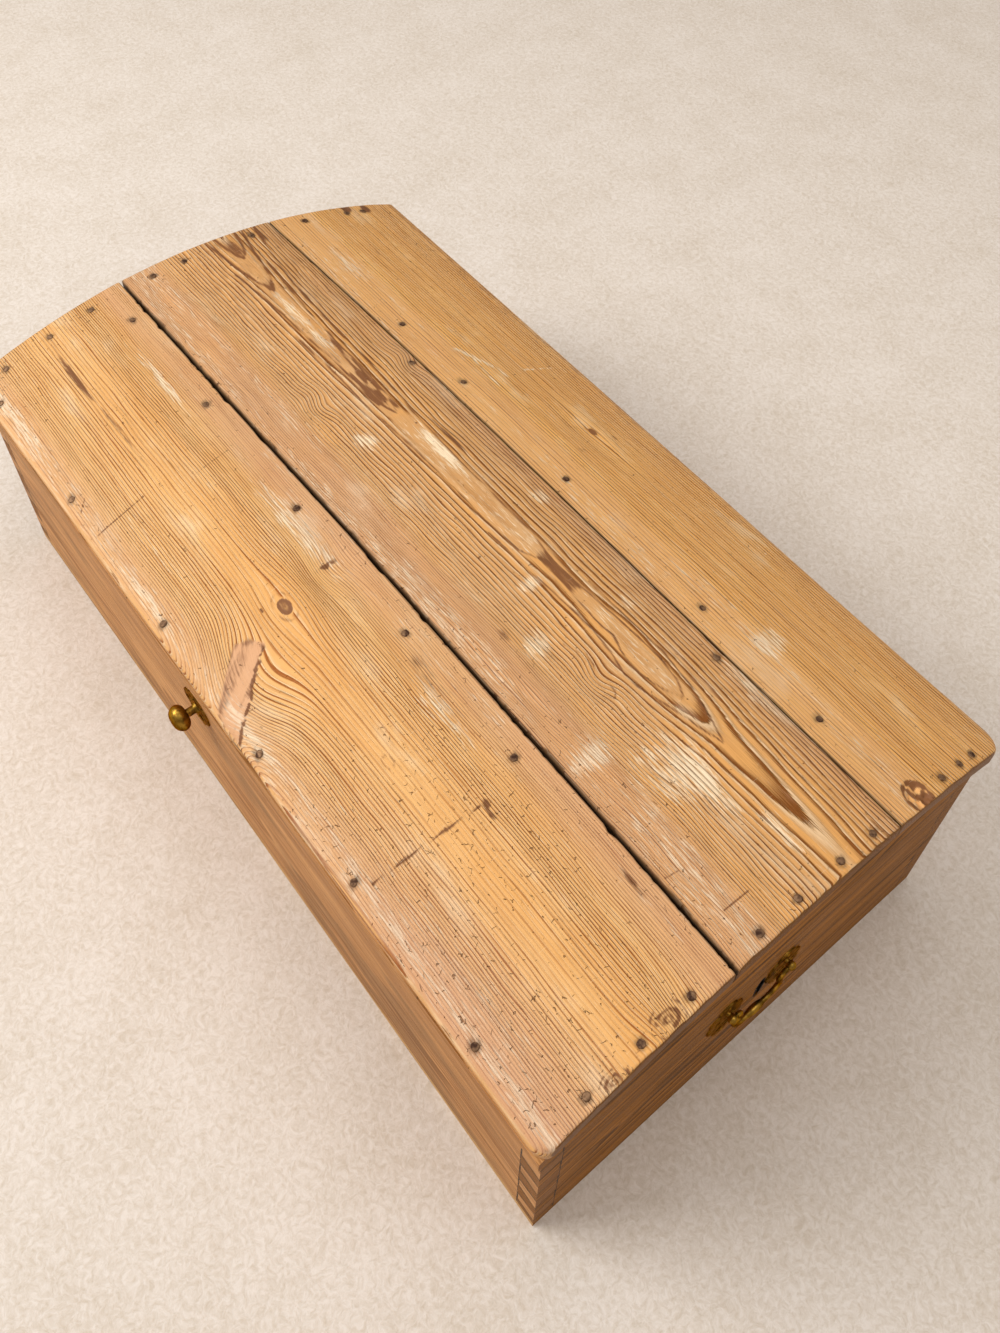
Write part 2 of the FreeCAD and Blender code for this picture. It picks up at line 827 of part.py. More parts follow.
def bail(name):
    """Swan-neck bail hanging from the origin, its pivot along Y, with a swelled grip at the bottom."""
    body = new_body(name + "_rod")
    path = new_sketch(body, name + "_path", "YZ_Plane")
    draw(
        path,
        [
            (rod_start, ZERO, s.bail_neck_radius, -1),
            (rod_start - s.bail_neck_radius, -s.bail_neck_radius, s.bail_swan_radius, -1),
            (swan_y, swan_z, bow_radius, 1),
            (bow_y, -s.bail_drop),
            (-bow_y, -s.bail_drop, bow_radius, 1),
            (-swan_y, swan_z, s.bail_swan_radius, -1),
            (s.bail_neck_radius - rod_start, -s.bail_neck_radius, s.bail_neck_radius, -1),
            (-rod_start, ZERO),
        ],
        closed=False,
    )
    section = new_sketch(body, name + "_rod_section", "XZ_Plane", -rod_start)
    draw_circle(section, ZERO, ZERO, s.bail_rod_radius)
    pipe = body.newObject("PartDesign::AdditivePipe", name + "_pipe")
    pipe.Profile = section
    pipe.Spine = (path, ["Edge%d" % (index + 1) for index in range(7)])
    pin_length = half_spacing + s.bail_pin_depth - rod_start
    front_pin = rod(name + "_front_pin", (ZERO, -rod_start, ZERO), "-Y", s.bail_pin_radius, pin_length)
    back_pin = rod(name + "_back_pin", (ZERO, rod_start, ZERO), "+Y", s.bail_pin_radius, pin_length)
    grip = doc.addObject("Part::Ellipsoid", name + "_grip")
    tie(grip, "Radius1", s.bail_grip_radius)
    tie(grip, "Radius2", s.bail_grip_radius)
    tie(grip, "Radius3", s.bail_grip_length / 2)
    place(grip, ZERO, ZERO, -s.bail_drop)
    return fuse(name + "_whole", [body, front_pin, back_pin, grip])


def pivot_hole(body):
    """Blind hole across a post's ball for the bail's pin, open towards +Y."""
    reach = s.bail_pin_depth + s.bail_side_gap
    hole = new_sketch(body, body.Name + "_pivot", "XZ_Plane", reach)
    draw_circle(hole, s.post_stand_off, ZERO, s.bail_pin_radius + s.bail_pin_clearance)
    pocket(body, hole, reach + s.post_ball_radius)


TURNS = {
    ("near", "front"): FreeCAD.Rotation(),
    ("near", "back"): FreeCAD.Rotation(FreeCAD.Vector(1, 0, 0), 180),
    ("far", "front"): FreeCAD.Rotation(FreeCAD.Vector(0, 1, 0), 180),
    ("far", "back"): FreeCAD.Rotation(FreeCAD.Vector(0, 0, 1), 180),
}
HALF_TURN = FreeCAD.Rotation(FreeCAD.Vector(0, 0, 1), 180)
end_tools = {}
plate_centre_height = handle_height - s.plate_drop
for end, sign in (("near", 1), ("far", -1)):
    outward, inward = ("+X", "-X") if end == "near" else ("-X", "+X")
    face = half_length * sign
    nuts, pin_places, posts = [], [], []
    for side, offset in (("front", -half_spacing), ("back", half_spacing)):
        post_y = s.handle_place + offset
        node = "%s_handle_%s" % (end, side)
        post = handle_post(node + "_post")
        pivot_hole(post)
        place(post, face, post_y, handle_height, turn=TURNS[end, side])
        posts.append(keep(node + "_post", post))
        pierced = plate(node + "_plate", s.plate_width, s.plate_height, s.plate_drop, handle_pierced_shares)
        place(pierced, face, post_y, plate_centre_height, turn=None if end == "near" else HALF_TURN)
        keep(node + "_plate", pierced)
        nut_seat = (inner_length * sign, post_y, handle_height)
        nuts.append(six_sided_nut(node + "_nut", nut_seat, inward, s.post_stem_radius))
        for pin_side in (1, -1):
            pin_z = plate_centre_height + s.plate_height / 2 * (pin_share * pin_side)
            pin_places.append((face + s.plate_thickness * sign, post_y, pin_z))
    keep("%s_handle_nuts" % end, group("%s_handle_nuts" % end, nuts))
    pins = plate_pins("%s_handle_plate_pins" % end, pin_places, outward, inward)
    swing = bail("%s_bail" % end)
    bail_x = face + s.post_stand_off * sign
    place(swing, bail_x, s.handle_place, handle_height, turn=None if end == "near" else HALF_TURN)
    keep("%s_bail" % end, swing)
    end_tools[end] = posts + [pins]

# Front knob, its plate and its nut

knob_middle = s.knob_reach - s.knob_depth / 2
knob_back = s.knob_reach - s.knob_depth
back_chord = root(
    (knob_middle - knob_back) * (knob_middle - knob_back)
    + (s.knob_radius - s.knob_neck_radius) * (s.knob_radius - s.knob_neck_radius)
)
front_knob_chord = root(
    (s.knob_reach - knob_middle) * (s.knob_reach - knob_middle) + s.knob_radius * s.knob_radius
)
crown_share = 0.64
foot_top = s.plate_thickness + s.knob_foot_depth
TO_FRONT = FreeCAD.Rotation(FreeCAD.Vector(0, 0, 1), -90)
knob = turned(
    "front_knob",
    [
        (-post_inner, ZERO),
        (-post_inner, s.post_stem_radius),
        (s.plate_thickness, s.post_stem_radius),
        (s.plate_thickness, s.knob_foot_radius),
        (foot_top, s.knob_neck_radius),
        (knob_back, s.knob_neck_radius, back_chord * crown_share, 1),
        (knob_middle, s.knob_radius, front_knob_chord * crown_share, 1),
        (s.knob_reach, ZERO),
    ],
)
place(knob, s.knob_place, -half_width, knob_height, turn=TO_FRONT)
keep("front_knob", knob)
knob_plate = plate("knob_plate", s.knob_plate_width, s.knob_plate_height, ZERO, knob_pierced_shares)
place(knob_plate, s.knob_place, -half_width, knob_height, turn=TO_FRONT)
keep("knob_plate", knob_plate)
knob_pin_places = []
for pin_side in (1, -1):
    pin_z = knob_height + s.knob_plate_height / 2 * (pin_share * pin_side)
    knob_pin_places.append((s.knob_place, -half_width - s.plate_thickness, pin_z))
knob_pins = plate_pins("knob_plate_pins", knob_pin_places, "-Y", "+Y")
knob_nut_seat = (s.knob_place, -inner_width, knob_height)
keep("knob_nut", six_sided_nut("knob_nut", knob_nut_seat, "+Y", s.post_stem_radius))

# Lock on the inside of the near end: case, sliding bolt, and the staple that hangs from the lid

case_back = inner_length - s.lock_depth
case_top = s.box_height - s.lock_top_gap
case_low = case_top - s.lock_tallness
case_front = s.handle_place - s.lock_width / 2
case_far = s.handle_place + s.lock_width / 2
loop_low_y = s.staple_place - s.staple_loop_width / 2
loop_high_y = s.staple_place + s.staple_loop_width / 2
loop_outer = inner_length - s.staple_wall_gap
loop_inner = loop_outer - s.staple_loop_depth
loop_low_z = s.box_height - s.staple_reach
loop_middle_x = (loop_outer + loop_inner) / 2
bolt_low_z = loop_low_z + s.staple_loop_wall + s.staple_clearance
bolt_high_z = bolt_low_z + s.bolt_tallness
bolt_low_x = loop_middle_x - s.bolt_depth / 2
bolt_high_x = loop_middle_x + s.bolt_depth / 2
bolt_tip = loop_low_y - s.bolt_start_gap
bolt_tail = bolt_tip - s.bolt_length
keep("lock_bolt", block("lock_bolt", (bolt_low_x, bolt_tail, bolt_low_z), (bolt_high_x, bolt_tip, bolt_high_z)))

case_block = block("case_block", (case_back, case_front, case_low), (inner_length, case_far, case_top))
bolt_tunnel = block(
    "bolt_tunnel",
    (bolt_low_x - s.bolt_clearance, bolt_tail - s.bolt_start_gap / 2, bolt_low_z - s.bolt_clearance),
    (
        bolt_high_x + s.bolt_clearance,
        bolt_tip + s.bolt_travel + s.bolt_start_gap,
        bolt_high_z + s.bolt_clearance,
    ),
)
staple_slot = block(
    "staple_slot",
    (loop_inner - s.staple_clearance, loop_low_y - s.staple_clearance, loop_low_z - s.staple_clearance),
    (inner_length, loop_high_y + s.staple_clearance, case_top),
)
well_low_z = keyhole_height - s.keyhole_slot_drop - s.keyhole_radius / 2
key_well = block(
    "key_well",
    (inner_length - s.key_well_depth, s.keyhole_place - s.key_well_width / 2, well_low_z),
    (inner_length, s.keyhole_place + s.key_well_width / 2, bolt_low_z),
)


def screw(name, start, way, back):
    """Flat-headed screw: its head's face at the start, its shank running back into the wood."""
    head = taper(
        name + "_head", start, back, s.screw_head_radius, s.screw_shank_radius, s.screw_head_depth
    )
    shank = rod(name + "_shank", start, back, s.screw_shank_radius, way)
    return fuse(name, [head, shank])


case_screw_length = s.lock_depth + s.screw_shank_length
lock_screw_list = []
for side in (-1, 1):
    screw_y = s.handle_place + (s.lock_width / 2 - s.lock_screw_inset) * side
    for level, screw_z in (("low", case_low + s.lock_screw_inset * 2), ("high", case_top - s.lock_screw_drop)):
        name = "lock_screw_%s_%s" % ("front" if side < 0 else "back", level)
        lock_screw_list.append(screw(name, (case_back, screw_y, screw_z), case_screw_length, "+X"))
lock_screws = keep("lock_screws", group("lock_screws", lock_screw_list))
lock_case = cut("lock_case", case_block, [bolt_tunnel, staple_slot, key_well, lock_screws])
keep("lock_case", lock_case)

plate_low_z = s.box_height + s.staple_plate_lift
plate_middle_z = plate_low_z + s.staple_plate_tallness / 2
staple_plate = block(
    "staple_plate",
    (inner_length - s.staple_plate_thickness, s.staple_place - s.staple_plate_width / 2, plate_low_z),
    (inner_length, s.staple_place + s.staple_plate_width / 2, plate_low_z + s.staple_plate_tallness),
)
staple_loop = block(
    "staple_loop", (loop_inner, loop_low_y, loop_low_z), (loop_outer, loop_high_y, plate_middle_z)
)
staple_window = block(
    "staple_window",
    (
        loop_inner + s.staple_loop_wall,
        loop_low_y - s.cut_overrun,
        loop_low_z + s.staple_loop_wall,
    ),
    (
        loop_outer - s.staple_loop_wall,
        loop_high_y + s.cut_overrun,
        bolt_high_z + s.staple_clearance,
    ),
)
staple_screw_list = []
for side in (-1, 1):
    start = (inner_length - s.staple_plate_thickness, s.staple_place + s.staple_screw_offset * side, plate_middle_z)
    name = "staple_screw_%s" % ("front" if side < 0 else "back")
    length = s.staple_plate_thickness + s.screw_shank_length
    staple_screw_list.append(screw(name, start, length, "+X"))
staple_screws = keep("staple_screws", group("staple_screws", staple_screw_list))
staple_blank = fuse("staple_blank", [staple_plate, staple_loop])
keep("lid_staple", cut("lid_staple", staple_blank, [staple_window, staple_screws]))

key_round = rod(
    "key_round",
    (inner_length, s.keyhole_place, keyhole_height),
    "+X",
    s.keyhole_radius,
    s.wall_thickness,
)
key_slot = block(
    "key_slot",
    (inner_length, s.keyhole_place - s.keyhole_slot_width / 2, keyhole_height - s.keyhole_slot_drop),
    (half_length, s.keyhole_place + s.keyhole_slot_width / 2, keyhole_height + s.keyhole_slot_rise),
)
keyhole = fuse("keyhole", [key_round, key_slot])

# Two butt hinges outside the back, under the lid's overhang

barrel_y = half_width + s.hinge_barrel_offset
leaf_face = half_width + s.hinge_leaf_thickness
knuckle_count = 3
lower_screw_share = 0.66
upper_screw_share = 0.64
half_knuckle = s.hinge_length / (2 * knuckle_count)
lower_screw_list, upper_screw_list = [], []
hinge_place = half_length - s.hinge_end_inset
for end, middle in (("near", hinge_place), ("far", -hinge_place)):
    low_x = middle - s.hinge_length / 2
    high_x = middle + s.hinge_length / 2
    inner_low_x = middle - half_knuckle
    inner_high_x = middle + half_knuckle
    name = end + "_hinge"
    pin_rod = rod(name + "_rod", (low_x, barrel_y, s.box_height), "+X", s.hinge_pin_radius, s.hinge_length)
    pin_head = rod(
        name + "_head",
        (high_x, barrel_y, s.box_height),
        "+X",
        s.hinge_pin_head_radius,
        s.hinge_pin_head_height,
    )
    pin = keep(name + "_pin", fuse(name + "_pin", [pin_rod, pin_head]))
    lower_screws = []
    for count in (-1, 0, 1):
        start = (middle + s.hinge_screw_offset * count, leaf_face, s.box_height - s.hinge_lower_leaf * lower_screw_share)
        length = s.hinge_leaf_thickness + s.screw_shank_length
        lower_screws.append(screw("%s_lower_screw_%d" % (name, count + 1), start, length, "-Y"))
    upper_screws = []
    for count in (-1, 1):
        start = (middle + s.hinge_screw_offset * count, leaf_face, s.box_height + s.hinge_upper_leaf * upper_screw_share)
        length = s.hinge_leaf_thickness + s.screw_shank_length
        upper_screws.append(screw("%s_upper_screw_%d" % (name, count + 1), start, length, "-Y"))
    lower_plate = block(
        name + "_lower_plate",
        (low_x, half_width, s.box_height - s.hinge_lower_leaf),
        (high_x, leaf_face, s.box_height - s.hinge_gap),
    )
    upper_plate = block(
        name + "_upper_plate",
        (low_x, half_width, s.box_height + s.hinge_gap),
        (high_x, leaf_face, s.box_height + s.hinge_upper_leaf),
    )
    barrels = []
    for label, start_x, stop_x in (
        ("first", low_x, inner_low_x - s.hinge_gap),
        ("last", inner_high_x + s.hinge_gap, high_x),
    ):
        start = (start_x, barrel_y, s.box_height)
        barrels.append(rod(name + "_" + label, start, "+X", s.hinge_barrel_radius, stop_x - start_x))
    middle_barrel = rod(
        name + "_middle",
        (inner_low_x, barrel_y, s.box_height),
        "+X",
        s.hinge_barrel_radius,
        inner_high_x - inner_low_x,
    )
    room = s.hinge_barrel_radius + s.hinge_gap
    middle_room = rod(
        name + "_middle_room",
        (inner_low_x - s.hinge_gap, barrel_y, s.box_height),
        "+X",
        room,
        inner_high_x - inner_low_x + s.hinge_gap * 2,
    )
    end_rooms = [
        rod(name + "_first_room", (low_x, barrel_y, s.box_height), "+X", room, inner_low_x - low_x),
        rod(name + "_last_room", (inner_high_x, barrel_y, s.box_height), "+X", room, high_x - inner_high_x),
    ]
    lower_cut = cut(name + "_lower_cut", lower_plate, [middle_room])
    lower_blank = fuse(name + "_lower_blank", [lower_cut] + barrels)
    keep(name + "_lower_leaf", cut(name + "_lower_leaf", lower_blank, [pin] + lower_screws))
    upper_cut = cut(name + "_upper_cut", upper_plate, end_rooms)
    upper_blank = fuse(name + "_upper_blank", [upper_cut, middle_barrel])
    pin_room = rod(
        name + "_pin_room",
        (low_x, barrel_y, s.box_height),
        "+X",
        s.hinge_pin_radius + s.hinge_pin_clearance,
        s.hinge_length,
    )
    keep(name + "_upper_leaf", cut(name + "_upper_leaf", upper_blank, [pin_room] + upper_screws))
    lower_screw_list += lower_screws
    upper_screw_list += upper_screws
hinge_lower_screws = keep("hinge_lower_screws", group("hinge_lower_screws", lower_screw_list))
hinge_upper_screws = keep("hinge_upper_screws", group("hinge_upper_screws", upper_screw_list))

# Boards with their holes for nails, screws, posts and key

knob_tools = [knob, knob_pins]
keep("front_board", cut("front_board", front_blank, [bottom_nails] + knob_tools))
keep("back_board", cut("back_board", back_blank, [bottom_nails, hinge_lower_screws]))
near_tools = [bottom_nails, keyhole, lock_screws] + end_tools["near"]
keep("near_end_board", cut("near_end_board", near_blank, near_tools))
keep("far_end_board", cut("far_end_board", far_blank, [bottom_nails] + end_tools["far"]))
for side, blank in zip(("front", "middle", "back"), bottom_blanks):
    keep("bottom_board_" + side, cut("bottom_board_" + side, blank, [bottom_nails]))

end_nails = [near_end_nails, far_end_nails]
keep("front_lid_board", cut("front_lid_board", front_lid_blank, end_nails + [front_edge_nails, front_seam_nails]))
keep("middle_lid_board", cut("middle_lid_board", middle_lid_blank, end_nails + [back_seam_nails]))
keep("back_lid_board", cut("back_lid_board", back_lid_blank, end_nails + [back_seam_nails]))
keep("near_lid_arch", cut("near_lid_arch", near_arch_blank, [near_end_nails, staple_screws]))
keep("far_lid_arch", cut("far_lid_arch", far_arch_blank, [far_end_nails]))
keep("lid_front_rail", cut("lid_front_rail", front_rail_blank, [front_edge_nails]))
keep("lid_back_rail", cut("lid_back_rail", back_rail_blank, end_nails + [hinge_upper_screws]))
keep("front_seam_batten", cut("front_seam_batten", front_batten_blank, [front_seam_nails]))
keep("back_seam_batten", cut("back_seam_batten", back_batten_blank, [back_seam_nails]))

# Checks and output

doc.recompute()
failed = [thing.Name for thing in doc.Objects if "Invalid" in thing.State or "Error" in thing.State]
if failed:
    raise RuntimeError("failed objects: " + ", ".join(failed))
os.makedirs("parts", exist_ok=True)
for node, thing in parts.items():
    shape = thing.Shape
    if shape.isNull() or not shape.isValid() or not shape.Solids:
        raise RuntimeError("bad shape: " + node)
    shape.exportStep("parts/%s.step" % node)
print("%d sub-parts written" % len(parts))
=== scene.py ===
import math
from functools import partial

import bmesh
import bpy
import numpy as np
from bpy.props import FloatProperty, FloatVectorProperty, PointerProperty
from mathutils import Matrix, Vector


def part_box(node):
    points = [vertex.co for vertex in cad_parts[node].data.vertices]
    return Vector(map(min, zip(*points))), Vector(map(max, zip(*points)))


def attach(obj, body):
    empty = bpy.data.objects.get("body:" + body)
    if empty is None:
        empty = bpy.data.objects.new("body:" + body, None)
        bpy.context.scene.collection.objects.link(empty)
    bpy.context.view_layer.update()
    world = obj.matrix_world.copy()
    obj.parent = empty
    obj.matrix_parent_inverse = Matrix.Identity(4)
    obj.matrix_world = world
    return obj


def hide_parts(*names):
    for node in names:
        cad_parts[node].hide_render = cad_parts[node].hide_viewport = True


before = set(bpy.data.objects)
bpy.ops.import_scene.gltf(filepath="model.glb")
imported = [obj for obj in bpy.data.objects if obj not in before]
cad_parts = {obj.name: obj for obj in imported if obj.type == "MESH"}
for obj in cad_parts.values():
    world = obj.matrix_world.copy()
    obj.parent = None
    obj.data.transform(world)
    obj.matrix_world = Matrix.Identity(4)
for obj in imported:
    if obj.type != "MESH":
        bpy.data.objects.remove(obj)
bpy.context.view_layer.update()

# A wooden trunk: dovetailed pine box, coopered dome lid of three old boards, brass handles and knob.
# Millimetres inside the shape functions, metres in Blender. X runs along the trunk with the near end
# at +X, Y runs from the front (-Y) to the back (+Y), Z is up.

bl_info = {
    "name": "Wooden trunk",
    "version": (1, 0, 0),
    "blender": (4, 5, 0),
    "location": "3D View > Sidebar > Trunk",
    "description": "Builds the worn boards, nails, fittings and finishes of a pine trunk",
    "category": "Object",
}

MM = 0.001


def linear(code):
    """sRGB hex to linear RGBA: c/12.92 below 0.04045, else ((c + 0.055)/1.055)^2.4."""
    channels = [int(code[i:i + 2], 16) / 255 for i in (1, 3, 5)]
    return tuple(c / 12.92 if c <= 0.04045 else ((c + 0.055) / 1.055) ** 2.4 for c in channels) + (1.0,)


def colour(name, description, code):
    """A colour choice whose default is written as sRGB hex."""
    return FloatVectorProperty(name=name, description=description, subtype="COLOR", size=4,
                               min=0.0, max=1.0, default=linear(code))


def length(name, description, metres):
    """A length choice in metres."""
    return FloatProperty(name=name, description=description, default=metres, min=0.0,
                         subtype="DISTANCE", unit="LENGTH", precision=4)


# Sizes and colours a user would change

class TrunkLidSizes(bpy.types.PropertyGroup):
    """Shape of the three lid boards."""
    dome_radius: length("Dome radius", "Outer radius of the coopered lid", 0.690)
    board_depth: length("Board thickness", "Thickness of the lid boards", 0.020)
    nosing_radius: length("Nosing radius", "Rounding of the front and back edges", 0.009)
    worn_radius: length("Worn edge radius", "Rounding that wear left on the other edges", 0.0017)
    end_radius: length("End rounding", "Rounding that wear left on the ends of the boards", 0.003)
    ridge_height: length("Ridge height", "How far the hard late wood stands above the soft wood", 0.00045)


class TrunkWoodColours(bpy.types.PropertyGroup):
    """Colours of the old pine."""
    front_early: colour("Front straw", "Early wood of the front lid board", "#edb774")
    front_late: colour("Front late wood", "Late wood of the front lid board", "#a45a16")
    middle_early: colour("Middle straw", "Early wood of the middle lid board", "#d49e63")
    middle_late: colour("Middle late wood", "Late wood of the middle lid board", "#884c12")
    back_early: colour("Back straw", "Early wood of the back lid board", "#f6b967")
    back_late: colour("Back late wood", "Late wood of the back lid board", "#a8631c")
    honey: colour("Honey", "Patches where the old wax has gone deep", "#e6a65b")
    knot: colour("Knot", "Knots, tears and resin streaks", "#7c4c29")
    # the scuffed colour is also the painted highlight on the pale lip after each ring line
    scuffed_and_highlight: colour("Scuffed", "Bare patches where the wax has gone", "#fde3bd")
    rosy: colour("Rosy", "Spike knot and freshly worn wood", "#cb977e")
    handled: colour("Handled", "Grey-brown stains where hands have been", "#6f5a48")
    # the grime colour is also the painted shade under the broken front edge of the lid
    grime_and_shade: colour("Grime", "Dirt in edges, seams and round nails", "#3c2a1c")
    wall_early: colour("Wall straw", "Early wood of the box boards", "#d39c64")
    wall_late: colour("Wall late wood", "Late wood of the box boards", "#9a6433")
    end_early: colour("End board straw", "Early wood of the end boards", "#b07122")
    end_late: colour("End board late wood", "Late wood of the end boards", "#5f3a0c")
    cut_end: colour("End grain", "Sawn ends of the boards", "#8c5c28")
    # painted shade: the keyhole colour blackens the lit walls of the slot and its rim, where the dark inside should
    # show
    keyhole_shade: colour("Keyhole", "Black dirt in the keyhole", "#0d0b08")
    inside_early: colour("Inside straw", "Early wood inside the trunk", "#d2ab78")
    inside_late: colour("Inside late wood", "Late wood inside the trunk", "#a2764a")


class TrunkMetalColours(bpy.types.PropertyGroup):
    """Colours of the fittings and nails."""
    brass: colour("Brass", "Rubbed brass", "#b98f3c")
    tarnish: colour("Tarnish", "Brown tarnish in the hollows of the brass", "#4c3510")
    iron: colour("Iron", "Dark iron of hinges and lock", "#5d524e")
    nail: colour("Nail heads", "Worn iron of the nail heads", "#86664a")
    rust: colour("Rust", "Brown rust on the iron", "#4a3023")


class TrunkStageSizes(bpy.types.PropertyGroup):
    """Floor, lamps and camera."""
    floor: colour("Floor", "Plain pale floor", "#e6dbd0")
    worn_floor: colour("Worn floor", "Faint clouds in the floor", "#cfc0ae")
    key_power: FloatProperty(name="Key lamp", description="Power of the large lamp on the left",
                             default=100.0, min=0.0, unit="POWER")
    sky: FloatProperty(name="Sky", description="Strength of the even light from all round",
                       default=0.55, min=0.0)
    lens: FloatProperty(name="Lens", description="Focal length for a 36 mm tall picture",
                        default=34.31, min=1.0, subtype="DISTANCE_CAMERA")


# Shapes worked out with numpy

def smooth(low, high, value):
    """Smooth step: t = (value - low)/(high - low) held in 0..1, then t^2 (3 - 2t)."""
    t = np.clip((value - low) / (high - low), 0.0, 1.0)
    return t * t * (3 - 2 * t)


def ripple(x, y, step_x, step_y, seed):
    """Smooth random field 0..1: random heights on a lattice of step_x by step_y, blended by smooth steps."""
    side = 128
    table = np.random.default_rng(seed).random((side, side))
    gx, gy = x / step_x + 61.3, y / step_y + 47.7
    i, j = np.floor(gx).astype(int), np.floor(gy).astype(int)
    u, v = smooth(0, 1, gx - i), smooth(0, 1, gy - j)
    i0, i1, j0, j1 = i % side, (i + 1) % side, j % side, (j + 1) % side
    return ((table[i0, j0] * (1 - u) + table[i1, j0] * u) * (1 - v)
            + (table[i0, j1] * (1 - u) + table[i1, j1] * u) * v)


def oval(x, s, place, size):
    """Distance from `place` counted in the half sizes `size`: 1 on the oval's outline."""
    return np.hypot((x - place[0]) / size[0], (s - place[1]) / size[1])


def spot(x, s, place, size, edge=0.35):
    """Oval mask: 1 inside the oval of half sizes `size` at `place`, falling smoothly over the edge share."""
    return 1 - smooth(1 - edge, 1 + edge, oval(x, s, place, size))


def stroke(x, s, start, end, width):
    """Line mask: exp(-(d/width)^2), d the distance to the segment from start to end."""
    ax, ay = end[0] - start[0], end[1] - start[1]
    t = np.clip(((x - start[0]) * ax + (s - start[1]) * ay) / (ax * ax + ay * ay), 0, 1)
    distance = np.hypot(x - start[0] - t * ax, s - start[1] - t * ay)
    return np.exp(-(distance / width) ** 2)


def traced(x, s, places, width):
    """Line mask along a chain of places: the largest of the strokes between neighbours."""
    return np.max([stroke(x, s, a, b, width) for a, b in zip(places[:-1], places[1:])], 0)


def bell(value, centre, width):
    """exp(-((value - centre)/width)^2)."""
    return np.exp(-((value - centre) / width) ** 2)


def window(x, s, along, across):
    """Mask of a soft-sided rectangle: along x and across s, the smooth steps of two pairs of places."""
    return smooth(*along[:2], x) * smooth(*along[2:], x) * smooth(*across[:2], s) * smooth(*across[2:], s)


def patchy(x, s, low, high, *lattice):
    """Mask in random patches: the smooth step from low to high of the random field."""
    return smooth(low, high, ripple(x, s, *lattice))


def layers(mask, x, s, rows):
    """Sum of masks of one kind: each row holds a strength and then what the mask takes."""
    return sum(strength * mask(x, s, *row) for strength, *row in rows)


def graded(low, high, step, round_low, round_high, extra=()):
    """Grid lines from low to high: even steps between the roundings, four closer ones inside each."""
    turn = np.array([0.0, 0.22, 0.45, 0.7])
    count = max(2, int((high - low - round_low - round_high) / step) + 1)
    even = np.linspace(low + round_low, high - round_high, count)
    lines = np.concatenate([low + round_low * turn, even,
                            high - round_high * turn, np.asarray(extra, float)])
    return np.unique(np.round(lines[(lines >= low) & (lines <= high)], 3))


def shell(u, v, w):
    """Closed surface of the block of grid lines u, v, w: the lattice points on its outside, and the quads."""
    shape = (len(u), len(v), len(w))
    index = np.indices(shape)
    outside = np.zeros(shape, bool)
    for axis, count in enumerate(shape):
        outside |= (index[axis] == 0) | (index[axis] == count - 1)
    ids = np.full(shape, -1)
    ids[outside] = np.arange(outside.sum())
    places = np.stack([u[index[0][outside]], v[index[1][outside]], w[index[2][outside]]], 1)
    quads = []
    for axis in range(3):
        for side in (0, -1):
            face = np.take(ids, side, axis=axis)
            corners = [face[:-1, :-1], face[1:, :-1], face[1:, 1:], face[:-1, 1:]]
            if (side == 0) != (axis == 1):
                corners.reverse()
            quads.append(np.stack([c.ravel() for c in corners], 1))
    return places, np.concatenate(quads)


def ease(points, i, j, low, high, radius):
    """Rounds the edges where axes i and j meet: a square ring of radius r round the inner rectangle
    becomes a circle, inner + v max(|v|)/|v|."""
    a = np.clip(points[:, i], low[i] + radius, high[i] - radius)
    b = np.clip(points[:, j], low[j] + radius, high[j] - radius)
    va, vb = points[:, i] - a, points[:, j] - b
    reach = np.hypot(va, vb)
    share = np.where(reach > 1e-9, np.maximum(abs(va), abs(vb)) / np.maximum(reach, 1e-9), 1.0)
    points[:, i], points[:, j] = a + va * share, b + vb * share


def polar_quads(rings, sides):
    """Quads of a polar grid whose points run ring by ring, `sides` of them in each."""
    row, column = np.meshgrid(np.arange(rings - 1), np.arange(sides), indexing="ij")
    beside = (column + 1) % sides
    corners = (row * sides + column, (row + 1) * sides + column,
               (row + 1) * sides + beside, row * sides + beside)
    return np.stack(corners, -1).reshape(-1, 4)


def late_wood(rings):
    """Darkness of a growth ring: slow rise over the year, sharp fall at its end."""
    part = rings - np.floor(rings)
    return smooth(0.45, 0.9, part) * (1 - smooth(0.94, 1.0, part))


def surface(name, points, quads, material):
    """One smooth mesh object from points in metres and quads."""
    mesh = bpy.data.meshes.new(name)
    mesh.from_pydata(points.tolist(), [], quads.tolist())
    mesh.polygons.foreach_set("use_smooth", np.ones(len(quads), bool))
    mesh.update()
    mesh.materials.append(material)
    return linked(name, mesh)


def linked(name, data):
    """An object that shows the data, in the scene."""
    thing = bpy.data.objects.new(name, data)
    bpy.context.scene.collection.objects.link(thing)
    return thing


def skin(node, points, quads, material):
    """Closed worn surface in the place of a node of the lid, from millimetre points and quads."""
    piece = surface("worn_" + node, points * MM, quads, material)
    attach(piece, "lid")
    return piece


def store(piece, name, values):
    """Puts one value per vertex into the mesh for the material to read: a number, three or a colour."""
    kind, key = {1: ("FLOAT", "value"), 3: ("FLOAT_VECTOR", "vector"), 4: ("FLOAT_COLOR", "color")}[
        1 if values.ndim == 1 else values.shape[1]]
    layer = piece.data.attributes.new(name, kind, "POINT")
    layer.data.foreach_set(key, np.ascontiguousarray(values, np.float32).ravel())


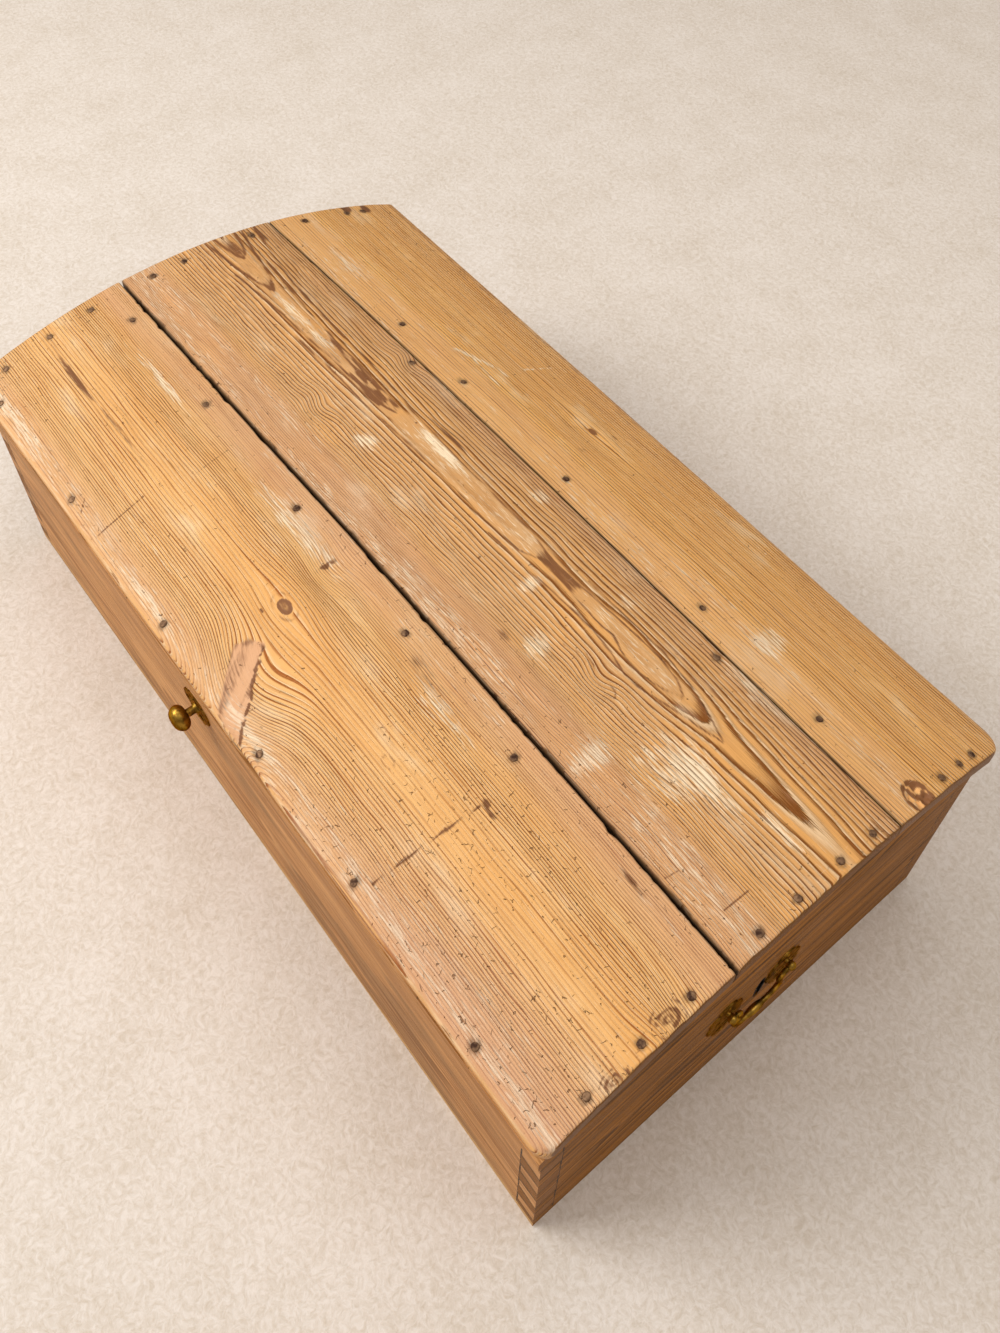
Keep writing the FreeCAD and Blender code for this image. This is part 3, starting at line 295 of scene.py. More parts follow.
def nail_places(*nodes):
    """Middle of every nail head in these nodes, in mm: the vertices just under the dome, grouped."""
    found, below_dome, apart = [], 1.5, 12
    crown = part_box("middle_lid_board")[1].z / MM
    radius = bpy.context.scene.trunk_lid.dome_radius / MM
    for node in nodes:
        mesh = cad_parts[node].data
        flat = np.empty(len(mesh.vertices) * 3, np.float32)
        mesh.vertices.foreach_get("co", flat)
        rest = flat.reshape(-1, 3) / MM
        rest = rest[np.hypot(rest[:, 1], rest[:, 2] - crown + radius) > radius - below_dome]
        while len(rest):
            near = np.hypot(*(rest[:, :2] - rest[0, :2]).T) < apart
            found.append(rest[near].mean(0))
            rest = rest[~near]
    return found


LID_NAILS = ("near_end_nails", "far_end_nails", "front_edge_nails", "front_seam_nails", "back_seam_nails")


def nail_heads(node, sizes, material, seed):
    """Worn forged heads, one uneven low dome per nail on a polar grid: radius r(a) = 3.5 (1 + 0.13 n(a)),
    height near 0.62 (1 - rho^5) with a dented middle, set square to the dome and closed 1.5 mm below it."""
    rho = np.array([0.0, 0.3, 0.55, 0.75, 0.88, 0.97, 1.0, 0.9, 0.0])
    lift = np.array([0.62, 0.60, 0.56, 0.46, 0.30, 0.10, -0.3, -1.5, -1.5])
    sides, half_head, sunk = 24, 3.5, 0.25
    angle = np.linspace(0, 2 * math.pi, sides + 1)[:-1]
    ring, turn = np.meshgrid(np.arange(len(rho)), np.arange(sides), indexing="ij")
    crown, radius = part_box("middle_lid_board")[1].z / MM, sizes.dome_radius / MM
    points, quads = [], []
    for number, place in enumerate(nail_places(node)):
        uneven = ripple(np.cos(angle) * 2 + 9 * number, np.sin(angle) * 2 + 5 * seed, 1.0, 1.0, 200 + seed) - 0.5
        reach = half_head * (1 + 0.26 * uneven[turn]) * rho[ring]
        local_x, local_y = reach * np.cos(angle[turn]), reach * np.sin(angle[turn])
        dent = 0.5 * (ripple(local_x + 30 * number, local_y, 1.6, 1.6, 210 + seed) - 0.5) * (lift[ring] > 0)
        local_z = lift[ring] + dent - sunk
        tilt = math.asin(place[1] / radius)
        out = radius + local_z
        y = out * math.sin(tilt) + local_y * math.cos(tilt)
        z = crown - radius + out * math.cos(tilt) - local_y * math.sin(tilt)
        points.append(np.stack([place[0] + local_x, y, z], -1).reshape(-1, 3))
        quads.append(number * len(rho) * sides + polar_quads(len(rho), sides))
    piece = skin(node, np.concatenate(points), np.concatenate(quads), material)
    shape = bmesh.new()
    shape.from_mesh(piece.data)
    bmesh.ops.remove_doubles(shape, verts=shape.verts, dist=0.01 * MM)
    shape.to_mesh(piece.data)
    shape.free()
    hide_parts(node)


# The three lid boards: grain, marks and edges, x along the board and s round the dome from the crown

def counted(place, places, spacings):
    """Rings passed on the way to `place`: the sum of 1/spacing, the spacing read between the given places."""
    walk = np.arange(places[0], places[-1], 0.5)
    return np.interp(place, walk, np.cumsum(0.5 / np.interp(walk, places, spacings)))


def front_grain(x, s, depth):
    """Fine rings, 3.9 mm apart in the middle of the board and 2.3 to 2.5 mm at its sides, parting round the
    knot and dipping to the spike knot at the front edge."""
    g = -154 + (s + 154) * (1 - 0.72 * bell(oval(x, s, (-16, -154), (46, 19)), 0, 1))
    g += 27 * bell(x, 24, 58) * smooth(-163, -222, s) * (1 - 0.4 * smooth(60, 120, x))
    g += 5 * bell(x, -20, 26) * bell(s, -104, 22)
    g += 5 * bell(x, 480, 30) * (bell(s, -112, 14) - bell(s, -146, 14))
    g += 3.0 * (ripple(x, s, 170, 60, 11) - 0.5) + 1.5 * (ripple(x, s, 38, 11, 12) - 0.5)
    rings = counted(g, (-330, -225, -205, -190, -172, -152, -138, -128, -105, -85, -40),
                    (2.4, 2.5, 2.8, 3.3, 3.9, 3.8, 3.0, 2.5, 2.4, 2.3, 2.3))
    return rings + 0.2 * depth, g


def middle_grain(x, s, depth):
    """Cathedral grain of a slab cut close over the pith: rings 4.1 mm apart, closer far out, counted along
    r = hypot(s - pith, height). The height of the board over the pith changes along x, so that the rings
    close in V tips and ovals."""
    pith = np.interp(x, (-490, -364, -136, 120, 284, 480), (57, 58, 58, 61, 62, 63))
    height = np.interp(x, (-490, -442, -364, -250, -136, 0, 90, 122, 150, 185, 217, 250, 284, 310, 334, 400, 480),
                       (14.6, 16.4, 20.5, 22.6, 24.6, 26.2, 27.9, 28.9, 28.7, 27.2, 26.7, 27.3, 28.7, 30.8, 32.8,
                        34.5, 36.5))
    wave = 5.5 * bell(x, -199, 26) * (bell(s, 0, 15) + bell(s, 112, 12)) * np.sin((x + 199) / 11)
    wave += 6 * bell(x, 228, 30) * bell(s, 16, 13) * np.sin((x - 205) / 12)
    drift = 6.0 * (ripple(x, s, 210, 70, 21) - 0.5) + 2.6 * (ripple(x, s, 46, 12, 22) - 0.5)
    across = s - pith + wave + drift * smooth(8, 30, abs(s - pith)) + 1.5 * (ripple(x, s, 30, 9, 23) - 0.5)
    rings = counted(np.hypot(across, height - depth), (0, 45, 60, 78, 95, 220), (4.1, 4.1, 3.6, 2.7, 2.2, 2.0))
    return rings, across


def back_grain(x, s, depth):
    """Quiet rings 3.6 mm apart, with a small bulge round the knot."""
    g = 226 + (s - 226) * (1 - 0.65 * bell(oval(x, s, (-20, 226), (40, 14)), 0, 1))
    g += 7 * (ripple(x, s, 260, 60, 31) - 0.5) + 1.6 * (ripple(x, s, 50, 12, 32) - 0.5)
    return (g - 0.5 * depth) / 3.6, g


def spike_knot(x, s):
    """The branch that lies in the front board: its left and ragged right edge at s, and its mask."""
    left = np.interp(-s, (187, 196, 210, 232, 258), (2, -10, -17, 2, 26))
    right = np.interp(-s, (187, 196, 215, 240, 258), (2, 6, 24, 47, 61))
    ragged = right + 5 * (ripple(x, s, 4, 3.2, 43) - 0.5)
    between = smooth(left - 2.5, left + 2.5, x) * (1 - smooth(ragged - 1.5, ragged + 1.5, x))
    return left, ragged, between * smooth(-186, -190, s)


def front_tones(x, s):
    """Where the front board is waxed honey, and where its figure is worn off or missing."""
    wax = 0.45 * bell(s, -150, 34) + 0.5 * spot(x, s, (-20, -160), (70, 40), 0.8) - 0.7 * smooth(-205, -235, s)
    plain = 0.12 + spike_knot(x, s)[2] + 0.45 * smooth(-222, -246, s)
    plain += layers(spot, x, s, ((1.0, (-16, -154), (11, 7), 0.3), (0.3, (470, -128), (9, 10), 0.5)))
    plain += 0.45 * smooth(-122, -96, s) * (0.5 + 0.5 * ripple(x, s, 90, 9, 120))
    plain += (0.32 + 0.2 * smooth(60, 220, x) + 0.4 * (ripple(x, s, 120, 9, 122) - 0.5)) * bell(s, -163, 26)
    return wax, plain


def middle_tones(x, s):
    """The middle board: golden in its middle, without figure in the cathedral tips and in the worn strip."""
    wax = 0.5 * bell(s, 60, 22) + 0.35 * smooth(180, 420, x)
    inside = layers(window, x, s, ((1.0, (-142, -126, 96, 78), (72, 69, 45, 48)),
                                   (1.0, (138, 150, 284, 274), (72, 69, 50, 54)),
                                   (1.0, (-480, -440, -136, -142), (68, 65, 46, 49))))
    strip = smooth(-16, -28, s) * (0.6 + 0.4 * ripple(x, s, 120, 9, 121))
    return wax - 0.9 * inside, 0.85 * inside + 0.4 * strip


def back_tones(x, s):
    """The back board: golden all over, its knots plain."""
    knots = layers(spot, x, s, ((1.0, (-18, 226), (6, 4), 0.3), (1.0, (468, 162), (16, 14), 0.3)))
    return 0.75 * smooth(176, 190, s) - 0.3 * smooth(178, 165, s), knots + 0.3 * smooth(182, 170, s)


def front_marks(x, s):
    """Knots, spike knot, resin streak, tears, scratches and scuffs of the front board."""
    rough = ripple(x, s, 9, 3, 41)
    # the round knot: its body, rim, bark and paler heart
    reach = np.hypot((x + 16 + 0.5 * (s + 154)) / 10, (s + 154 - 0.2 * (x + 16)) / 6)
    dark = 0.75 * smooth(1.12, 0.9, reach) + 0.35 * bell(reach, 0.95, 0.16)
    dark += 0.4 * bell(reach, 1.75, 0.25) - 0.25 * bell(reach, 0.3, 0.25)
    # tears, a small knot, dull patches and the resin streak
    dark += 0.9 * spot(x, s, (-24, -104), (3.4, 11), 0.6) * smooth(0.2, 0.6, rough)
    dark += 0.7 * spot(x, s, (379, -81), (13, 3.0), 0.6) * smooth(0.25, 0.6, rough)
    dark += 0.95 * spot(x, s, (-405, -172.5), (38, 3.4), 0.6) * (0.6 + 0.4 * rough)
    dark += layers(spot, x, s, ((0.8, (-28, -172), (3.2, 1.8)), (0.32, (126, -98), (34, 8), 0.9),
                                (0.22, (-60, -92), (40, 4), 0.9)))
    streak = bell(s, np.interp(x, (-490, -300, -68), (-173, -171, -168)), 2.3) * smooth(-60, -90, x)
    dark += 0.8 * streak * patchy(x, s, 0.15, 0.75, 60, 5, 42)
    # the spike knot: its ragged right edge, the fibres of the branch, its left edge
    left, ragged, wedge = spike_knot(x, s)
    begun = smooth(-187, -193, s)
    dark += bell(x, ragged, 3.0) * begun * patchy(x, s, 0.1, 0.55, 3.4, 2.6, 44)
    dark += 0.4 * wedge * smooth(0.4, 0.85, ripple(x + s * 0.55, s, 4.5, 60, 45)) + 0.3 * bell(x, left, 4) * begun
    # scratches, then the ring that something round has pressed in
    dark += stroke(x, s, (250, -128), (264, -131), 3.0) * smooth(0.1, 0.5, rough)
    dark += 0.95 * stroke(x, s, (250, -134), (239, -238), 1.1) * patchy(x, s, 0.1, 0.3, 5, 9, 46)
    dark += 0.35 * stroke(x, s, (96, -128), (110, -95), 6) * rough
    dark += layers(stroke, x, s, ((0.75, (-217, -192), (-215, -251), 0.9), (0.5, (-203, -100), (-201, -140), 0.8),
                                  (0.65, (-262, -238), (-250, -250), 0.9), (0.65, (-250, -240), (-262, -248), 0.9)))
    dark += 0.45 * bell(oval(x, s, (168, -169), (7.0, 4.4)), 1, 0.22)
    # the knots at the near end, drawn as rings
    for place, size in (((468, -128), (6.5, 9)), ((474, -186), (5, 7)), ((476, -163), (4, 6))):
        reach = oval(x, s, place, size)
        rings = 0.95 * bell(reach, 1.0, 0.25) + 0.8 * bell(reach, 0.3, 0.3) + 0.6 * bell(reach, 1.7, 0.2)
        dark += rings * patchy(x, s, 0.25, 0.7, 5, 4, 47)
    pale = layers(spot, x, s, ((0.8, (-325, -106), (48, 5), 0.8), (0.7, (-80, -99), (70, 9), 0.8),
                               (0.65, (160, -106), (40, 7), 0.8), (0.4, (150, -118), (14, 5), 0.8)))
    pale += 0.35 * smooth(-60, -66, s) * smooth(-110, -80, s) * patchy(x, s, 0.45, 0.8, 70, 7, 52)
    pale += 0.55 * bell(s, -246, 6) * patchy(x, s, 0.3, 0.7, 90, 8, 53)
    pale += 0.35 * smooth(-195, -225, s) * patchy(x, s, 0.2, 0.7, 130, 18, 56)
    rosy = 1.5 * wedge + 0.5 * smooth(-215, -245, s)
    rosy += 0.9 * smooth(-165, -225, s) * smooth(60, 420, x) * (0.4 + 0.6 * ripple(x, s, 120, 25, 54))
    rosy += 0.9 * smooth(-112, -84, s) * (0.4 + 0.6 * ripple(x, s, 150, 20, 55))
    return dark, pale, rosy


MIDDLE_TIPS = (
    # outlines of the cathedral grain as places (x, s) in mm, each with its line width
    (((-490, 75), (-461, 70), (-446, 65), (-438, 59), (-446, 55), (-461, 52), (-490, 48)), 2.2),
    (((-490, 84), (-449, 76), (-417, 71), (-392, 66), (-371, 57), (-392, 50), (-417, 45), (-449, 41),
      (-490, 36)), 2.0),
    (((-417, 77), (-371, 74), (-324, 70), (-261, 68), (-199, 68), (-161, 65), (-137, 59), (-155, 53), (-171, 48),
      (-224, 49), (-280, 46), (-330, 44), (-371, 41), (-417, 36)), 1.5),
    (((-490, 100), (-417, 89), (-371, 82), (-261, 78), (-214, 80), (-136, 74), (-60, 72), (65, 72), (102, 66),
      (140, 68), (202, 73), (240, 74), (268, 70), (284, 62), (265, 53), (243, 48), (221, 49), (199, 56), (187, 54),
      (140, 56), (102, 61), (74, 48), (34, 45), (-60, 45), (-136, 42), (-167, 39), (-214, 40), (-292, 36)), 1.7),
    (((140, 78), (237, 81), (277, 76), (309, 68), (335, 59), (315, 53), (284, 46), (252, 37), (237, 36), (212, 42),
      (184, 45), (127, 43), (40, 38)), 1.6),
    (((180, 14), (190, 16), (199, 23), (212, 21), (221, 14), (240, 10), (249, 13), (245, 18), (236, 19)), 1.2),
)
MIDDLE_SCUFFS = (
    # small rubbed patches as place and half sizes in mm
    ((-124, 11), (12, 12)), ((111, 33), (8, 12)), ((166, -4), (12, 14)), ((178, 92), (9, 5)),
    ((32, 108), (11, 8)), ((276, -38), (14, 18)), ((422, 39), (26, 5)), ((-72, 66), (30, 6)),
    ((312, 121), (34, 8)), ((-330, 56), (34, 6)), ((-270, 56), (22, 6)),
)


def middle_marks(x, s):
    """Dark outlines of the cathedral tips, resin inside them, scuffs and scratches of the middle board."""
    worn = 0.45 + 0.55 * patchy(x, s, 0.2, 0.6, 24, 5, 61)
    dark = np.max([traced(x, s, places, width * 0.85) for places, width in MIDDLE_TIPS], 0) * worn * 0.72
    resin = window(x, s, (-320, -240, -136, -150), (68, 65, 47, 50))
    resin *= 0.3 + 0.7 * np.maximum(smooth(-225, -205, x) * smooth(-150, -165, x), smooth(58, 63, s))
    dark += 0.95 * resin * patchy(x, s, 0.15, 0.75, 18, 3, 62)
    dark += layers(window, x, s, ((0.7, (82, 96, 148, 134), (69, 66, 55, 58)),
                                  (0.55, (-490, -455, -440, -452), (67, 63, 53, 57)),
                                  (0.45, (-395, -375, -371, -376), (62, 60, 52, 55))))
    dark += layers(spot, x, s, ((0.75, (-80, 84), (32, 2.4), 0.7), (0.6, (470, 108), (20, 2.0), 0.7),
                                (0.55, (-466, 99), (12, 2.5), 0.7), (0.5, (140, -22), (8, 4), 0.7)))
    dark += layers(stroke, x, s, ((0.8, (439, -17), (438, -42), 0.9), (0.65, (393, -48), (391, -60), 0.9)))
    dark += 0.22 * smooth(-120, -400, x) * smooth(-15, 0, s)
    pale = layers(spot, x, s, ((0.72, (330, 10), (32, 27), 0.9), (0.6, (362, 22), (30, 9), 0.8)))
    pale += layers(spot, x, s, [(0.75, place, size, 0.8) for place, size in MIDDLE_SCUFFS])
    pale += 0.45 * smooth(-18, -30, s) * patchy(x, s, 0.3, 0.8, 150, 12, 68)
    pale += layers(window, x, s, ((0.3, (-134, -118, 92, 76), (72, 69, 45, 48)),
                                  (0.3, (142, 156, 282, 270), (71, 68, 53, 56))))
    return dark, pale, 0.45 * smooth(-14, -34, s) + 0.3 * smooth(90, 118, s) * ripple(x, s, 140, 16, 70)


def back_marks(x, s):
    """Knots, scuffs and the broken knot at the near end of the back board."""
    dark = layers(spot, x, s, ((1.0, (-18, 226), (5, 3.2)), (0.38, (-20, 226), (13, 7), 0.5),
                               (0.55, (-1, 244), (4, 2.4), 0.6), (1.2, (-482, 226), (10, 6), 0.5),
                               (1.0, (-476, 252), (9, 5), 0.6), (0.35, (-382, 205), (7, 2), 0.7)))
    dark += 0.935 * spot(x, s, (-2, 196), (5, 5), 0.7) * ripple(x, s, 8, 3, 81)
    chip = (468, 162), (15, 13)
    dark += spot(x, s, *chip, 0.4) * (0.15 + 0.9 * patchy(x, s, 0.35, 0.75, 5, 3, 83))
    dark += 0.7 * bell(oval(x, s, *chip), 1, 0.12)
    dark += 0.3 * bell(s, 217, 1.6) * smooth(-120, -480, x) + 0.35 * smooth(268, 296, s)
    pale = layers(stroke, x, s, ((0.8, (-192, 176), (-150, 195), 3.0), (0.75, (-168, 183), (-120, 180), 2.0),
                                 (0.75, (-132, 227), (-124, 270), 1.0), (0.5, (183, 262), (190, 268), 0.9),
                                 (0.5, (202, 261), (200, 269), 0.9)))
    pale += layers(spot, x, s, ((0.7, (-138, 199), (9, 3), 0.6), (0.6, (-372, 158), (34, 12), 0.8),
                                (0.8, (284, 176), (15, 16), 0.8)))
    pale += 0.55 * stroke(x, s, (176, 177), (246, 176), 1.4) * patchy(x, s, 0.3, 0.7, 18, 3, 86)
    pale += 0.35 * smooth(182, 168, s) * patchy(x, s, 0.35, 0.8, 120, 9, 87)
    return dark, pale, 0.4 * smooth(181, 170, s)


LID_BOARDS = {
    # node: (grain, marks, tones, y step, how strongly the ridges stand, extra lines along x)
    "front_lid_board": (front_grain, front_marks, front_tones, 1.3, 0.35,
                        (*range(-34, 66, 2), -262, -259, -256, -253, -250, -217.5, -216.5, -215.5, -214.5,
                         -203, -202, -201, 239, 243, 247, 251, 253)),
    "middle_lid_board": (middle_grain, middle_marks, middle_tones, 1.05, 1.0,
                         (*range(-486, -366, 2), *range(-160, -130, 2), *range(80, 148, 2), *range(180, 256, 2),
                          437, 438, 439, 440, 391, 392, 393, 394)),
    "back_lid_board": (back_grain, back_marks, back_tones, 1.5, 0.25,
                       (*range(-34, -4, 2), -132, -130, -128, -126, 184, 186, 188, 200, 202,
                        *range(452, 476, 2))),
}


def front_seam(x):
    """Middle of the seam between front and middle board: it bows a little along the trunk."""
    return np.interp(x, (-490, -250, -40, 250, 480), (-69.0, -66.8, -64.3, -65.2, -66.2))


def back_seam(x):
    """Middle of the seam between middle and back board."""
    return np.interp(x, (-490, -300, -40, 60, 480), (119.5, 124.0, 126.6, 126.4, 124.4))


def checks(x, s, nails):
    """How densely the face is dented and cracked: most at the near end of the front board and by the seams."""
    dense = smooth(60, 230, x) * smooth(-90, -125, s) * (0.25 + 0.75 * ripple(x, s, 60, 35, 111))
    dense += 0.7 * bell(s, -66, 14) + 0.35 * bell(s, 122, 8) + 0.35 * smooth(-420, -470, x)
    dense += 0.3 * patchy(x, s, 0.55, 0.8, 90, 40, 112)
    for nail in nails:
        dense += 0.5 * bell(np.hypot(x - nail[0], s - nail[1]), 0, 12)
    return dense


def lid_board(node, sizes, material, nails):
    """One coopered board. A block x, y, depth is rounded along its edges, its seams are bowed and chewed,
    its face is worn by ridges and dents, and then it is bent: z = centre + sqrt((R - depth)^2 - y^2)."""
    grain, marks, tones, step, strength, extra = LID_BOARDS[node]
    front, back = node == "front_lid_board", node == "back_lid_board"
    low, high = (np.array(corner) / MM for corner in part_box(node))
    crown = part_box("middle_lid_board")[1].z / MM
    radius, thick = sizes.dome_radius / MM, sizes.board_depth / MM
    worn, nose, blunt = sizes.worn_radius / MM, sizes.nosing_radius / MM, sizes.end_radius / MM
    round_front, round_back = (nose if front else worn), (nose if back else worn)
    y_low, y_high = low[1] + (0.7 if front else 0), high[1]
    closer = np.concatenate([extra, high[0] - np.arange(4, 24, 2.0), low[0] + np.arange(4, 12, 2.0)])
    points, quads = shell(graded(low[0], high[0], 4.0, blunt, blunt, closer),
                          graded(y_low, y_high, step, round_front, round_back),
                          graded(0.0, thick, 5.0, max(round_front, round_back), worn,
                                 worn * np.array([0.3, 0.6, 1.0])))
    end_face = (points[:, 0] <= low[0] + 0.01) | (points[:, 0] >= high[0] - 0.01)
    shown = np.where(end_face, 0.0, 1 - smooth(1.5, 5.0, points[:, 2]))
    outer = points[:, 2] < thick / 2
    edge_radius = np.where(points[:, 1] < (y_low + y_high) / 2, round_front, round_back)
    lows, highs = np.array([low[0], y_low, 0.0]), np.array([high[0], y_high, thick])
    ease(points, 1, 2, lows, highs, np.where(outer, edge_radius, np.minimum(edge_radius, 5.0)))
    ease(points, 0, 2, lows, highs, np.where(outer, blunt, worn))
    ease(points, 0, 1, lows, highs, np.full(len(points), worn))
    x, y, depth = points.T.copy()
    share = (y - y_low) / (y_high - y_low)

    # the seams bow, and the worn corners and the far end are a little out of square
    y_start = np.full_like(x, y_low) if front else back_seam(x) + 0.6 if back else front_seam(x) + 1.5
    y_end = np.full_like(x, y_high) if back else front_seam(x) - 1.5 if front else back_seam(x) - 0.6
    if front:
        for corner, reach in ((x - (high[0] - 15), 15), (low[0] + 8 - x, 8)):
            corner = np.clip(corner, 0, reach)
            y_start += (reach - np.sqrt(reach ** 2 - corner ** 2)) * 0.8
        # the lower edge is broken away beside the spike knot
        y_start += 4.5 * bell(x, 77, 17) * smooth(7, 12, depth) * (0.6 + 0.4 * ripple(x, depth, 6, 4, 109))
    if back:
        reach = 22
        corner = np.clip(x - (high[0] - reach), 0, reach)
        y_end = y_high - 8.0 * smooth(-490, 480, x) + 3.5 - (reach - np.sqrt(reach ** 2 - corner ** 2)) * 0.85
    y = y_start + share * (y_end - y_start)
    x = x + smooth(-380, -490, x) * np.interp(y, (-250, 290), (-2.5, 2.5))
    nicks = np.maximum(ripple(y, y * 0, 8, 50, 108) - 0.45, 0)
    x = x - 1.6 * nicks * smooth(12, 0, high[0] - x) * smooth(9, 0, depth)

    # chewed seam edges and dented nosing
    chew = 11 * np.maximum(ripple(x, x * 0 + (y_low + y_high) / 2, 17, 50, 101) - 0.70, 0)
    chew += 5 * np.maximum(ripple(x, x * 0, 4, 50, 102) - 0.70, 0)
    to_front, to_back = y - y_start, y_end - y
    bite = chew * (0.25 + 0.75 * smooth(5, 0, depth))
    if not front:
        y = y + bite * smooth(9, 0, to_front) * (0.4 if back else 1.0)
    if not back:
        y = y - bite * smooth(9, 0, to_back) * (1.0 if front else 0.35)
    s = radius * np.arcsin(np.clip(y / radius, -1, 1))
    rings, across = grain(x, s, depth)
    dark, pale, rosy = marks(x, s)
    wax, plain = tones(x, s)

    # dirt in the seams, at the ends and round the nails, which stand in dimples, and painted shade under the broken
    # edge of the front board
    to_seam = np.minimum(to_front + (99 if front else 0), to_back + (99 if back else 0))
    grime_and_shade = 1.2 * smooth(1.2, 3.5, depth) * smooth(4.0, 2.0, to_seam)
    grime_and_shade += 0.7 * smooth(2.2, 0.2, to_seam + 0.35 * chew)
    grime_and_shade += 0.3 * smooth(2.5, 0.0, np.minimum(x - low[0], high[0] - x)) * ripple(y, x, 9, 30, 103)
    if front:
        # painted shade: a dark patch on the lower nosing beside the spike knot, where the broken-away edge leaves the
        # underside in shadow
        grime_and_shade += 1.4 * bell(x, 74, 22) * smooth(5.5, 8.5, depth) * smooth(9, 5, to_front)
    dimple = np.zeros_like(x)
    for number, nail in enumerate(nails):
        reach = np.hypot(x - nail[0], y - nail[1])
        grime_and_shade += 0.6 * smooth(6.6, 3.6, reach + 3.5 * (ripple(x, y, 3, 3, 104 + number) - 0.5))
        dimple += 0.6 * smooth(8.0, 3.5, reach)

    # the mesh carries ridges only where the rings are wide, the material draws the closer ones
    wide = bell(s, -163, 22) if front else 1 if back else smooth(-30, 0, s)
    relief = dimple - strength * sizes.ridge_height / MM * late_wood(rings) * wide
    relief += 0.9 * (ripple(x, y, 120, 45, 105) - 0.5) + 0.25 * (ripple(x, y, 25, 12, 106) - 0.5)
    relief += 0.9 * np.clip(dark, 0, 1) * (0.35 if back else 0.25)
    if back:
        relief += 4.5 * spot(x, s, (468, 162), (12, 10), 0.5) * (0.5 + ripple(x, y, 4, 3, 107))
    depth = depth + relief * shown
    z = crown - radius + np.sqrt((radius - depth) ** 2 - y ** 2)
    piece = skin(node, np.stack([x, y, z], 1), quads, material)
    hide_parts(node)
    store(piece, "rings", rings)
    store(piece, "grain", np.stack([x, across, depth], 1) * MM)
    end_dirt = 0.08
    # the fourth channel holds the dirt and the painted shade under the broken front edge
    colours = [dark * shown, pale * shown, rosy * shown, np.where(end_face, end_dirt, grime_and_shade)]
    store(piece, "marks", np.clip(np.stack(colours, 1), 0, 1))
    dense, plain = np.clip(checks(x, s, nails), 0, 1), np.clip(plain, 0, 1)
    store(piece, "tone", np.stack([dense, wax, plain], 1) * shown[:, None])
    store(piece, "cut", end_face)


# Materials: one function adds any node, the others each build one finish of this trunk

USUAL = {
    # kind of node: the settings that it mostly has here
    "MapRange": {"interpolation_type": "SMOOTHSTEP"},
    "Math": {"operation": "MULTIPLY_ADD"},
    "Mix": {"data_type": "RGBA"},
    "VectorMath": {"operation": "MULTIPLY_ADD"},
}


def add_node(tree, kind, *values, out=None, **named):
    """Adds a shader node and returns its output `out`, or else the first one in use. Small names are its
    settings; other values go into its inputs in their order or by name, and sockets among them are linked."""
    node = tree.nodes.new("ShaderNode" + kind)
    settings = {key: value for key, value in named.items() if key.islower()}
    inputs = {key: value for key, value in named.items() if key not in settings}
    for key, value in {**USUAL.get(kind, {}), **settings}.items():
        setattr(node, key, value)
    for key, value in [*enumerate(values), *inputs.items()]:
        socket = node.inputs[key] if isinstance(key, int) else next(
            socket for socket in node.inputs if socket.name == key and socket.enabled)
        if isinstance(value, bpy.types.NodeSocket):
            tree.links.new(value, socket)
        else:
            socket.default_value = value
    return next(socket for socket in node.outputs if socket.enabled) if out is None else node.outputs[out]


def new_finish(name, **surface):
    """A material whose Principled surface has plain values, with add_node for its tree and a function that
    links an output to the surface."""
    material = bpy.data.materials.new(name)
    material.use_nodes = True
    tree = material.node_tree
    shader = tree.nodes["Principled BSDF"]
    for key, value in surface.items():
        shader.inputs[key].default_value = value

    def surface_link(socket, key):
        tree.links.new(socket, shader.inputs[key])

    return material, partial(add_node, tree), surface_link


def growth_ring(add, rings, fibre, width):
    """Late wood of each ring, 0..1: the line fills the last `width` share of the year and ends sharply. Its
    edge is frayed by the fibres, and a random number per year makes some years bolder than others. The new
    year starts with a pale lip, returned as a mask; where it is made paler it is a painted highlight."""
    fray = 0.5
    frayed = add("Math", fibre, fray, rings)
    part = add("Math", frayed, operation="FRACT")
    rise = add("MapRange", part, 1 - width, 0.93)
    fall = add("MapRange", part, 0.94, 1.0, 1.0, 0.0)
    bold = add("TexWhiteNoise", W=add("Math", frayed, operation="FLOOR"), noise_dimensions="1D")
    bold = add("MapRange", bold, 0.0, 1.0, 0.4, 1.15, interpolation_type="LINEAR")
    line = add("Math", rise, fall, operation="MULTIPLY")
    line = add("Math", line, bold, operation="MULTIPLY")
    return line, add("MapRange", part, 0.02, 0.34, 1.0, 0.0)


def end_grain(add, place, line, wood):
    """Sawn board end: rings and open pores 1.5 mm across, greyed by dust."""
    pores = add("TexNoise", place, Scale=620.0, Detail=3.0, Roughness=0.6)
    dirt = add("MapRange", pores, 0.35, 0.75, 0.0, 0.35)
    return add("Mix", Factor=add("Math", line, 0.45, dirt), A=wood.cut_end, B=wood.knot)


